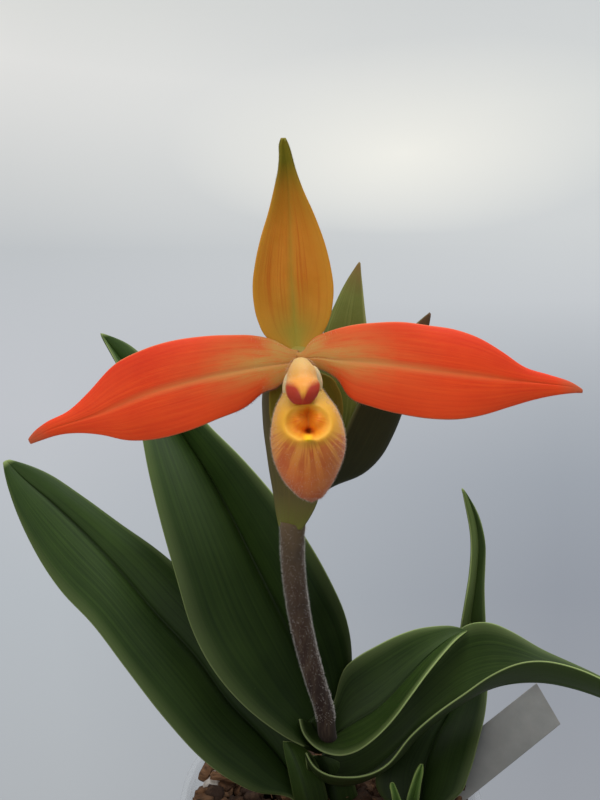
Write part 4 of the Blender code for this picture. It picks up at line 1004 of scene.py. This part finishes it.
blade("sheath_back", SHEATH_BACK, mat_leaf_b, None, "leaf_green", thick=0.8, na=60,
      nb=31, groove=0.2, keel=0.2)

# ---------------------------------------------------------------- stem
stem_pts = [seen(*p) for p in [(329, 742, 201.6)] + STEM + [(293, 521, 170.4)]]


def stem_shape(t, a):
    return 1.0 + 0.012 * math.sin(3 * a + 5 * t) + 0.05 * math.exp(-((t - 0.985) / 0.02) ** 2)


stem_ob, sv, sn = tube("flower_stem_skin", stem_pts,
                       [2.0, 2.1, 2.15, 2.2, 2.2, 2.2, 2.25, 2.3, 2.3], mat_stem, "flower_stem",
                       "stem_skin", rings=160, sides=40, profile=stem_shape)
keep = sv[:, 2] > 88
hp, hn = sv[keep], sn[keep]
rng = np.random.default_rng(5)
side_on = np.where(np.abs(hn @ VIEW_AXIS) < 0.5)[0]
pick = np.concatenate([rng.choice(len(hp), 1300), rng.choice(side_on, 3000)])
jit = rng.normal(0, 0.12, (4300, 3))
hairs("flower_stem_down", hp[pick] + jit - hn[pick] * np.sum(jit * hn[pick], axis=1)[:, None],
      hn[pick], 0.42, 0.021, mat_hair_pale, 6)

ovary_ob, ov, on = tube("ovary_skin", [seen(*p) for p in OVARY],
                        [1.3, 1.7, 1.9, 2.0, 1.9, 1.6], mat_ovary, "ovary", "ovary_green",
                        rings=70, sides=30,
                        profile=lambda t, a: 1.0 + 0.05 * math.cos(6 * a))
tube("rachis_skin", [seen(*p) for p in RACHIS], [1.0, 1.1, 1.1, 0.7], mat_stem,
     "rachis_tip", "stem_skin", rings=40, sides=20)
tube("flower_bud_skin", [seen(*p) for p in BUD], [0.5, 1.4, 1.6, 1.1, 0.4], mat_bud,
     "flower_bud", "shoot_green", rings=50, sides=24)

# ---------------------------------------------------------------- bracts
blade("bract_lower_skin", BRACT_LOWER, mat_bract_low, "bract_lower", "bract_olive",
      thick=0.7, na=90, nb=41, crease=False, keel=0.2, groove_w=0.05)
foot = [((l[0], l[1], l[2]), (m_[0] - cut, m_[1] - cut * 0.6, m_[2]), r)
        for (l, m_, r), cut in zip(BRACT_RIGHT, (6, 12, 8, 2, 0, 0, 0, 0, 0, 0, 0, 0, 0, 0))]
BRACT_RIGHT = foot + BRACT_RIGHT[len(foot):]
blade("bract_right_skin", BRACT_RIGHT, mat_bract_right, "bract_right", "bract_olive",
      thick=0.7, na=110, nb=41, crease=False, keel=0.3, groove_w=0.05)
blade("bract_upper_skin", BRACT_UPPER, mat_bract_up, "bract_upper", "shoot_green",
      thick=0.7, na=90, nb=41, crease=False, keel=0.2, groove_w=0.05)


# ---------------------------------------------------------------- flower
def wave(amount, k, phase):
    def f(grid, x):
        na = grid.shape[0]
        t = np.linspace(0, 1, na)[:, None]
        shift = amount * (np.abs(x)[None, :] ** 3) * np.sin(k * t * math.pi + phase
                                                          + 1.6 * np.sign(x)[None, :])
        shift = shift * np.sin(np.clip(t, 0, 1) * math.pi)
        return grid + shift[:, :, None] * VIEW_AXIS[None, None, :]
    return f


PETAL_LEFT = [((294, 368, 159.8), (296, 359, 159.6), (298, 350, 159.8)),
              ((287.5, 377, 159.2), (289, 363, 158.9), (290.5, 349, 159.2)),
              ((277, 387.5, 158.9), (275, 365, 158), (274, 340, 158.7))] + PETAL_LEFT[2:]
PETAL_RIGHT = [((294, 351, 159.8), (297, 356, 159.5), (300, 361, 159.8))] + PETAL_RIGHT
pl, pg, pn = blade("petal_left_skin", PETAL_LEFT, mat_petal_l, "petal_left",
                   "petal_orange", thick=0.8, na=150, nb=61, crease=False,
                   belly=(0.2, 0.2), groove=0.12, keel=0.15, groove_w=0.06,
                   ripple=wave(0.35, 5.0, 0.4), ease=4)
pr, qg, qn = blade("petal_right_skin", PETAL_RIGHT, mat_petal_r, "petal_right",
                   "petal_orange", thick=0.8, na=150, nb=61, crease=False,
                   belly=(0.2, 0.2), groove=0.12, keel=0.15, groove_w=0.06,
                   ripple=wave(0.35, 4.6, 1.7), ease=4)
ds, dg, dn = blade("dorsal_sepal_skin", DORSAL_SEPAL, mat_dorsal, "dorsal_sepal",
                   "sepal_ochre", thick=0.8, na=150, nb=61, crease=False, groove=0.10,
                   keel=0.25, groove_w=0.08, ripple=wave(0.2, 4.0, 0.2), ease=4,
                   tip_share=0.8)
blade("synsepal_skin", SYNSEPAL, mat_synsepal, "synsepal", "bract_olive", thick=0.8,
      na=90, nb=49, crease=False, keel=0.2, groove_w=0.06, ease=4)


def pouch_mesh(rows_count, sides):
    data = np.array(POUCH_ROWS, float)
    rows = smooth_path(data, rows_count)
    rows = soften(rows, 3)
    verts, at = [seen(*POUCH_TOP)], {k: [v] for k, v in
                                     (("mouth", 0.8), ("mouth_x", 0), ("mouth_y", -1),
                                      ("down", 0.0), ("ray", 0.0))}

    def note(u, v, sin_a, down):
        mx, my = (u - MOUTH[0]) / MOUTH[2], (v - MOUTH[1]) / MOUTH[3]
        q = math.hypot(mx, my)
        if sin_a <= 0:
            q = max(q, 1.5)
        at["mouth"].append(min(1.0, q / 3.0))
        at["mouth_x"].append(mx)
        at["mouth_y"].append(my)
        at["down"].append(down)
        at["ray"].append(math.atan2(mx, my + 0.35))

    n = len(rows)
    for i, (lu, ru, v, d, hd) in enumerate(rows):
        cu, hw = (lu + ru) / 2, (ru - lu) / 2
        for k in range(sides):
            a = 2 * math.pi * k / sides
            ca, sa = math.cos(a), math.sin(a)
            u = cu + hw * ca
            depth = d - hd * sa
            if sa > 0:
                mx, my = (u - MOUTH[0]) / MOUTH[2], (v - MOUTH[1]) / MOUTH[3]
                q = math.hypot(mx, my * (1.0 if my > 0 else 0.92))
                share = min(1.0, hd / 5.0) * min(1.0, 2.2 * sa)
                s = min(1.0, max(0.0, (1.06 - q) / 0.62))
                s = s * s * (3 - 2 * s)
                lobes = math.exp(-((abs(mx - 0.04) - 0.46) / 0.36) ** 2 - ((my + 0.20) / 0.80) ** 2)
                slit = math.exp(-((mx - 0.04) / 0.11) ** 2) * (1 if my < 0.4 else 0.6)
                hole = math.exp(-((mx - 0.05) / 0.17) ** 2 - ((my - 0.48) / 0.16) ** 2)
                depth += share * s * (2.9 - 2.0 * lobes + 0.5 * slit + 2.4 * hole)
                lip = math.exp(-((q - 1.12) / 0.20) ** 2)
                depth -= share * 0.28 * lip
                wide = 0.10 + 0.30 * max(0.0, my - 0.55)
                tooth = math.exp(-((mx - 0.03) / wide) ** 2 - ((my - 0.88) / 0.24) ** 2)
                depth -= share * 2.3 * tooth
            verts.append(seen(u, v, depth))
            note(u, v, sa, 0.02 + 0.96 * i / (n - 1))
    verts.append(seen(*POUCH_END))
    note(POUCH_END[0], POUCH_END[1], 1.0, 1.0)
    faces = []
    for k in range(sides):
        k2 = (k + 1) % sides
        faces.append((0, 1 + k2, 1 + k))
        faces.append((len(verts) - 1, 1 + (n - 1) * sides + k, 1 + (n - 1) * sides + k2))
    for i in range(n - 1):
        for k in range(sides):
            k2 = (k + 1) % sides
            faces.append((1 + i * sides + k, 1 + i * sides + k2,
                          1 + (i + 1) * sides + k2, 1 + (i + 1) * sides + k))
    return np.array(verts), faces, at


pv, pf, pat = pouch_mesh(120, 160)
pouch = make_object("pouch_skin", pv, pf, mat_pouch, pat)
settle(pouch, "pouch")
centre = pv.mean(axis=0)
pp, pnn = scatter(pv, pf, 9000, 21)
flipn = np.sum(pnn * (pp - centre), axis=1) < 0
pnn[flipn] *= -1
mouth_c = seen(MOUTH[0], MOUTH[1], 146)
ok = np.linalg.norm(pp - mouth_c, axis=1) > 5.2
turned_away = np.abs(pnn @ VIEW_AXIS) < 0.42
ok = ok & (turned_away | (np.arange(len(pp)) % 4 == 0))
hairs("pouch_down", pp[ok], pnn[ok], 0.34, 0.019, mat_hair_peach,
      22, curl=0.25)

tube("column_skin", [seen(300.5, 367.5, 158.0), seen(301, 366, 155.6), seen(301.5, 370.5, 153.6)],
     [1.2, 1.5, 1.2], mat_column, "column", "column_yellow", rings=24, sides=28)
SHIELD = [((294.6, 363.5, 151.4), (300.5, 361.2, 150.7), (307.0, 363.0, 151.4)),
          ((290.0, 370, 151.1), (301, 368, 149.2), (314.0, 369, 151.1))] + SHIELD[2:]
sh_ob, sh_grid, sh_n = blade("staminode_skin", SHIELD, mat_shield, "staminode", "column_yellow", thick=1.5,
      na=60, nb=41, crease=False, tip_share=0.7, ease=3, edge_power=4)

# pale wings behind the shield, and the flower's heart between the petals
def lump_piece(name, centre, radii, mat, node, tilt=0.0):
    q = ico3_v * np.array(radii)[None, :]
    c, s_ = math.cos(tilt), math.sin(tilt)
    q = q @ np.array([[c, 0, -s_], [0, 1, 0], [s_, 0, c]])
    ob = make_object(name, q + np.array(centre)[None, :], ico3_f.tolist(), mat)
    settle(ob, node)
    return ob


bm = bmesh.new()
bmesh.ops.create_icosphere(bm, subdivisions=4, radius=1.0)
ico3_v = np.array([v.co[:] for v in bm.verts])
ico3_f = np.array([[v.index for v in f.verts] for f in bm.faces])
bm.free()
mat_wing = plain("wing_wax", (0.66, 0.55, 0.28), (0.74, 0.60, 0.32), 500.0, 0.5, sub=0.2)
mat_heart = plain("heart_skin", (0.34, 0.28, 0.040), (0.46, 0.36, 0.07), 420.0, 0.6)
lump_piece("column_wing_left", seen(289.5, 383, 152.2), (1.1, 1.4, 2.4), mat_wing, None,
           0.25)
lump_piece("column_wing_right", seen(315.5, 379, 152.2), (1.1, 1.4, 2.4), mat_wing, None,
           -0.25)
lump_piece("flower_heart", seen(301, 361, 161.6), (4.1, 1.9, 2.9), mat_heart, None)

# short down on the petals' lower base edges, the sepal's tip and the ovary
for nm, grid, nrm, low_col, seed in (("left", pg, pn, 0, 31), ("right", qg, qn, -1, 32)):
    rng = np.random.default_rng(seed)
    na = grid.shape[0]
    rows = rng.integers(int(0.03 * na), int(0.26 * na), 900)
    cols = rng.integers(0, 8, 900)
    cols = cols if low_col == 0 else grid.shape[1] - 1 - cols
    root = grid[rows, cols]
    hairs("petal_%s_down" % nm, root, nrm[rows, cols] + 0.6 * (root - grid[rows, 30])
          / (np.linalg.norm(root - grid[rows, 30], axis=1)[:, None] + 1e-9),
          0.45, 0.018, mat_hair_plum, seed)
    rows = rng.integers(0, int(0.16 * na), 1100)
    cols = rng.integers(4, grid.shape[1] - 4, 1100)
    hairs("petal_%s_base_down" % nm, grid[rows, cols] + 0.3 * nrm[rows, cols], nrm[rows, cols],
          0.28, 0.016, mat_hair_peach, seed + 40)
rng = np.random.default_rng(51)
na = dg.shape[0]
rows = rng.integers(int(0.80 * na), na - 1, 900)
cols = np.where(rng.random(900) < 0.5, rng.integers(0, 5, 900),
                dg.shape[1] - 1 - rng.integers(0, 5, 900))
root = dg[rows, cols]
mid = dg[rows, dg.shape[1] // 2]
outward = (root - mid) / (np.linalg.norm(root - mid, axis=1)[:, None] + 1e-9)
hairs("dorsal_tip_down", root, outward + 0.3 * dn[rows, cols], 0.30, 0.016,
      mat_hair_green, 52)
rng = np.random.default_rng(71)
na = sh_grid.shape[0]
rows = rng.integers(0, int(0.62 * na), 700)
cols = rng.integers(1, sh_grid.shape[1] - 1, 700)
sign = -1.0 if np.mean(sh_n @ VIEW_AXIS) > 0 else 1.0
hairs("staminode_down", sh_grid[rows, cols] + sign * 0.7 * sh_n[rows, cols],
      sign * sh_n[rows, cols], 0.30, 0.015, mat_hair_peach, 72)
hairs("ovary_down", ov[::2], on[::2], 0.32, 0.018, mat_hair_pale, 61)

# ---------------------------------------------------------------- plant label
quad = [seen(536.5, 683, 211.0), seen(560.5, 724, 207.5), seen(447, 815.2, 203.0)]
quad.append(quad[0] + quad[2] - quad[1])
e1, e2 = quad[3] - quad[0], quad[1] - quad[0]
L1, L2 = np.linalg.norm(e1), np.linalg.norm(e2)
e1, e2 = e1 / L1, e2 / L2
e3 = np.cross(e1, e2)
lv, lf = [], []
nu, nw = 40, 14
for side in (0.28, -0.28):
    for i in range(nu + 1):
        for j in range(nw + 1):
            a, b = i / nu, j / nw
            bend = 0.5 * math.sin(math.pi * a) * 0.8
            lv.append(quad[0] + e1 * L1 * a + e2 * L2 * b + e3 * (side + bend * 0.6))
w = nw + 1
tot = (nu + 1) * w
for i in range(nu):
    for j in range(nw):
        q = i * w + j
        lf.append((q, q + 1, q + w + 1, q + w))
        lf.append((tot + q, tot + q + w, tot + q + w + 1, tot + q + 1))
for i in range(nu):
    for j in (0, nw):
        q = i * w + j
        lf.append((q, q + w, tot + q + w, tot + q))
for j in range(nw):
    for i in (0, nu):
        q = i * w + j
        lf.append((q, tot + q, tot + q + 1, q + 1))
label = make_object("plant_label_card", lv, lf, mat_label, smooth=False)
bev = label.modifiers.new("edge", "BEVEL")
bev.width = 0.00012
bev.segments = 2
bev.limit_method = "ANGLE"
settle(label, "plant_label")

# ---------------------------------------------------------------- bark mix
IN_SLOPE = 0.86 * (POT_RIM_R - 1.6 - POT_BASE_R) / 56.2


def inner_r(z):
    if z < 58.2:
        return POT_BASE_R - POT_WALL + max(0.0, z - 2.0) * IN_SLOPE
    return 31.7


def turned_mesh(profile, sides):
    verts, index = [], []
    for r, z in profile:
        if r <= 1e-9:
            index.append([len(verts)] * sides)
            verts.append((0.0, 0.0, z))
            continue
        row = []
        for k in range(sides):
            a = 2 * math.pi * k / sides
            row.append(len(verts))
            verts.append((r * math.cos(a), r * math.sin(a), z))
        index.append(row)
    faces = []
    for j in range(len(profile) - 1):
        for k in range(sides):
            k2 = (k + 1) % sides
            ring = [index[j][k], index[j][k2], index[j + 1][k2], index[j + 1][k]]
            ring = [q for i, q in enumerate(ring) if q not in ring[:i]]
            if len(ring) > 2:
                faces.append(tuple(ring))
    return verts, faces


cv, cf = turned_mesh([(0, 1.9), (21.5, 1.9), (22.8, 3.5), (28.0, 57.0), (28.2, 60.0),
                      (26.0, 61.0), (14.0, 61.8), (6.0, 62.4), (0, 62.6)], 72)
core = make_object("mix_core", cv, cf, mat_core)
settle(core, None)

rv, rf = turned_mesh([(0, 61.0), (5.0, 61.0), (5.6, 63.0), (4.2, 65.6), (2.0, 67.0),
                      (0, 67.4)], 40)
rhizome = make_object("rhizome_skin", rv, rf, mat_rhizome)
settle(rhizome, "rhizome")

base_me = bpy.data.meshes.new("ico")
bm = bmesh.new()
bmesh.ops.create_icosphere(bm, subdivisions=2, radius=1.0)
ico_v = np.array([v.co[:] for v in bm.verts])
ico_f = np.array([[v.index for v in f.verts] for f in bm.faces])
bm.free()
bpy.data.meshes.remove(base_me)


def chip(rng, centre, size, frame_axes, blocky=0.45):
    q = ico_v.copy()
    for _ in range(3):
        d = rng.normal(0, 1, 3)
        d /= np.linalg.norm(d)
        cut = rng.uniform(0.45, 0.8)
        over = np.maximum(0, q @ d - cut)
        q = q - over[:, None] * d[None, :]
    q = np.sign(q) * np.abs(q) ** blocky
    ph = rng.uniform(0, 6.28, 6)
    bump = 1 + 0.10 * np.sin(3.1 * q[:, 0] + ph[0]) * np.sin(2.7 * q[:, 1] + ph[1]) \
        + 0.07 * np.sin(7 * q[:, 0] + ph[2]) + 0.06 * np.sin(6 * q[:, 2] + ph[3])
    q = q * bump[:, None] + rng.normal(0, 0.045, q.shape)
    q = q * np.array(size)[None, :]
    return centre + q @ np.array(frame_axes)


def random_axes(rng, up, tilt):
    up = np.asarray(up, float) + rng.normal(0, tilt, 3)
    up /= np.linalg.norm(up)
    ref = rng.normal(0, 1, 3)
    a = np.cross(up, ref)
    a /= np.linalg.norm(a)
    b = np.cross(up, a)
    return [a, b, up]


def pile(name, count, seed, mat, place, size_of, node=None, tones=(0.0, 1.0)):
    rng = np.random.default_rng(seed)
    allv, allf, tone = [], [], []
    n0 = 0
    for i in range(count):
        c, up, tilt = place(rng, i)
        pts = chip(rng, np.array(c), size_of(rng), random_axes(rng, up, tilt))
        rr = np.hypot(pts[:, 0], pts[:, 1])
        lim = np.array([inner_r(z) - 0.45 for z in pts[:, 2]])
        f = np.where(rr > lim, lim / np.maximum(rr, 1e-6), 1.0)
        pts[:, 0] *= f
        pts[:, 1] *= f
        pts[:, 2] = np.maximum(pts[:, 2], 1.7)
        allv.append(pts)
        allf.append(ico_f + n0)
        n0 += len(pts)
        tone += [rng.uniform(*tones)] * len(pts)
    ob = make_object(name, np.concatenate(allv), np.concatenate(allf).tolist(), mat,
                     {"tone": tone}, fix=False)
    settle(ob, node)
    return ob


def wall_place(rng, i):
    z = rng.uniform(3.5, 62.0)
    a = rng.uniform(0, 2 * math.pi)
    r = inner_r(z) - rng.uniform(1.3, 2.6)
    return (r * math.cos(a), r * math.sin(a), z), (math.cos(a), math.sin(a), 0), 0.28


def top_place(rng, i):
    a = rng.uniform(0, 2 * math.pi)
    r = 31.0 * math.sqrt(rng.uniform(0.0, 1.0))
    z = 62.0 + rng.uniform(0.0, 2.6) + 1.6 * math.exp(-(r / 12.0) ** 2)
    if r > 22:
        z += rng.uniform(1.0, 3.4)
    return (r * math.cos(a), r * math.sin(a), z), (0, 0, 1), 0.45


def foot_place(rng, i):
    a = rng.uniform(0, 2 * math.pi)
    r = 22.0 * math.sqrt(rng.uniform(0, 1))
    return (r * math.cos(a), r * math.sin(a), 2.8), (0, 0, 1), 0.2


pile("bark_wall", 620, 101, mat_bark, wall_place,
     lambda g: (g.uniform(2.2, 5.2), g.uniform(1.5, 3.2), g.uniform(0.7, 1.2)),
     node="potting_mix")
pile("bark_top", 520, 102, mat_bark, top_place,
     lambda g: (g.uniform(1.6, 4.6), g.uniform(1.0, 2.6), g.uniform(0.6, 1.3)),
     node=["bark_chip_1", "bark_chip_2", "bark_chip_3", "bark_chip_4", "bark_chip_5"])
pile("bark_foot", 70, 103, mat_bark, foot_place,
     lambda g: (g.uniform(2.2, 4.6), g.uniform(1.5, 3.0), g.uniform(0.5, 0.8)))


def stone_place(rng, i):
    spots = [(-27.4, 5.5, 65.6), (12.5, -18.0, 65.6), (-24.5, -9.5, 65.2), (20, 14, 65.0),
             (-6, 24, 65.2), (27.0, 2.0, 64.6)]
    if i < len(spots):
        return spots[i], (0, 0, 1), 0.5
    z = rng.uniform(5, 60)
    a = rng.uniform(0, 2 * math.pi)
    r = inner_r(z) - 2.0
    return (r * math.cos(a), r * math.sin(a), z), (math.cos(a), math.sin(a), 0), 0.5


pile("pumice_stones", 34, 104, mat_pumice, stone_place,
     lambda g: (g.uniform(1.8, 2.9), g.uniform(1.5, 2.5), g.uniform(1.4, 2.0)),
     node=["pumice_1", "pumice_2"])

# roots that press against the inside of the wall
allv, allf, al, ac = [], [], [], []
n0 = 0
rng = np.random.default_rng(77)
for i in range(9):
    a0 = rng.uniform(0, 2 * math.pi)
    turn = rng.uniform(-1.6, 1.6)
    pts = []
    steps = 9
    zlow = rng.uniform(5, 26)
    for k in range(steps):
        z = 61 - (61 - zlow) * (k / (steps - 1)) ** 0.9
        a = a0 + turn * (k / (steps - 1)) ** 1.3 + rng.normal(0, 0.04)
        inset = 1.75 if 0 < k else 6.0
        r = inner_r(z) - inset
        pts.append((r * math.cos(a), r * math.sin(a), z))
    w = rng.uniform(1.0, 1.35)
    v, f, at, _ = tube_mesh(pts, [w * 0.9, w, w, w * 0.8], 70, 14)
    allv.append(v)
    allf += [tuple(q + n0 for q in ff) for ff in f]
    al += list(at["along"])
    ac += list(at["across"])
    n0 += len(v)
roots = make_object("roots_at_wall", np.concatenate(allv), allf, mat_root,
                    {"along": al, "across": ac})
settle(roots, None)

# loose bark fibres on top
allv, allf, n0 = [], [], 0
rng = np.random.default_rng(78)
for i in range(240):
    a = rng.uniform(0, 2 * math.pi)
    r = 29.0 * math.sqrt(rng.uniform(0, 1))
    c = np.array([r * math.cos(a), r * math.sin(a), rng.uniform(64.0, 66.6)])
    d = rng.normal(0, 1, 3)
    d[2] *= 0.35
    d /= np.linalg.norm(d)
    ln = rng.uniform(1.5, 4.0)
    sag = rng.normal(0, 0.7, 3)
    pts = [c - d * ln / 2, c + sag * 0.3 + np.array([0, 0, 0.3]), c + d * ln / 2]
    pts = [p * np.array([min(1.0, 30.0 / max(1e-6, math.hypot(p[0], p[1])))] * 2 + [1.0])
           for p in pts]
    v, f, at, _ = tube_mesh(pts, [0.06, 0.11, 0.05], 8, 5)
    allv.append(v)
    allf += [tuple(q + n0 for q in ff) for ff in f]
    n0 += len(v)
fib = make_object("bark_fibres", np.concatenate(allv), allf, mat_bark,
                  {"tone": rng.uniform(0.5, 1.0, n0)})
settle(fib, None)

# ---------------------------------------------------------------- the pot
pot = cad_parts["pot"]
for s in pot.material_slots:
    s.material = mat_pot

# ---------------------------------------------------------------- stage
prof = [(0.0, 0.0), (0.6, 0.0), (1.1, 0.0)]
for k in range(1, 13):
    a = k / 12 * math.pi / 2
    prof.append((1.1 + 0.7 * math.sin(a), 0.7 - 0.7 * math.cos(a)))
prof.append((1.8, 1.9))
fv, ff = turned_mesh([(r * 1000, z * 1000) for r, z in prof], 96)
sm = Nodes("studio_floor")
pos = sm.new("ShaderNodeNewGeometry").outputs["Position"]
sep = sm.new("ShaderNodeSeparateXYZ")
sm.put(sep, 0, pos)
far = sm.math("ADD", sep.outputs[1], sm.math("MULTIPLY", sep.outputs[2], 0.9))
fan = sm.math("DIVIDE", sep.outputs[0],
              sm.math("ADD", sm.math("ABSOLUTE", sm.math("ADD", far, 0.08)), 0.12))
half = sm.math("MULTIPLY", far, 0.5)
# Painted light: the backdrop colour runs from dark near the pot to bright far away, and darker on the
# right, as the light falls off.
left = sm.ramp(half, [(0.0, (0.355, 0.378, 0.410)), (0.095, (0.390, 0.425, 0.472)),
                      (0.205, (0.455, 0.478, 0.530)), (0.515, (0.495, 0.525, 0.565)),
                      (0.70, (0.64, 0.66, 0.68)), (0.885, (0.80, 0.805, 0.810)),
                      (1.0, (0.75, 0.765, 0.76))])
right = sm.ramp(half, [(0.0, (0.280, 0.296, 0.335)), (0.095, (0.238, 0.262, 0.312)),
                       (0.155, (0.275, 0.305, 0.358)), (0.375, (0.500, 0.530, 0.575)),
                       (0.60, (0.62, 0.65, 0.68)), (0.83, (0.70, 0.73, 0.745)),
                       (1.0, (0.66, 0.69, 0.72))])
tint = sm.mix(sm.ramp(sm.math("MULTIPLY_ADD", fan, 1.5, 0.5), [(0.05, 0.0), (0.92, 1.0)]),
              left, right)
# Painted pool of light: a pale bright spot far behind the plant.
dx = sm.math("MULTIPLY", sm.math("SUBTRACT", fan, 0.10), 4.2)
dy = sm.math("MULTIPLY", sm.math("SUBTRACT", far, 1.52), 2.6)
light_pool_dist = sm.math("SQRT", sm.math("ADD", sm.math("MULTIPLY", dx, dx), sm.math("MULTIPLY", dy, dy)))
tint = sm.mix(sm.ramp(light_pool_dist, [(0.0, 0.9), (1.0, 0.0)]), tint, (0.91, 0.91, 0.87))
haze = sm.noise(sm.scaled(pos, (1.2, 1.2, 1.2)), 1.0, 3.0, 0.5)
tint = sm.mix(sm.ramp(haze, [(0.3, 0.10), (0.7, 0.0)]), tint, (0.45, 0.48, 0.52))
# Painted light: the backdrop glows with its own emission, though it is no lamp.
sm.put(sm.b, "Emission Color", sm.mix(1.0, tint, (0.60, 0.60, 0.59), "MULTIPLY"))
sm.b.inputs["Emission Strength"].default_value = 1.0
floor_mat = sm.base(sm.mix(1.0, tint, (0.42, 0.40, 0.37), "MULTIPLY"), 0.95, spec=0.05)
floor = make_object("studio_floor", fv, ff, floor_mat, fix=False)

world = bpy.data.worlds.new("soft_sky")
world.use_nodes = True
bg = world.node_tree.nodes["Background"]
bg.inputs["Color"].default_value = (0.94, 0.965, 1.0, 1.0)
bg.inputs["Strength"].default_value = 0.75
scene.world = world


def area(name, place, aim, size, power, colour):
    lamp = bpy.data.lights.new(name, "AREA")
    lamp.shape = "RECTANGLE"
    lamp.size, lamp.size_y = size
    lamp.energy = power
    lamp.color = colour
    ob = bpy.data.objects.new(name, lamp)
    scene.collection.objects.link(ob)
    ob.location = place
    from mathutils import Vector
    d = Vector(aim) - Vector(place)
    ob.rotation_euler = d.to_track_quat("-Z", "Y").to_euler()
    return ob


area("sky_panel", (0.15, 0.35, 1.35), (0.0, 0.0, 0.12), (1.3, 1.0), 17.0, (0.97, 0.985, 1.0))
area("front_fill", (-0.55, -0.9, 0.75), (0.0, 0.0, 0.14), (0.7, 0.7), 4.0, (1.0, 0.97, 0.93))

# ---------------------------------------------------------------- camera
cam_data = bpy.data.cameras.new("view")
cam_data.lens = 40.5
cam_data.sensor_width = 36.0
cam_data.clip_start = 0.005
cam_data.clip_end = 20.0
cam = bpy.data.objects.new("view", cam_data)
cam.location = EYE * MM
cam.rotation_euler = (math.radians(70.0), 0.0, 0.0)
scene.collection.objects.link(cam)
scene.camera = cam
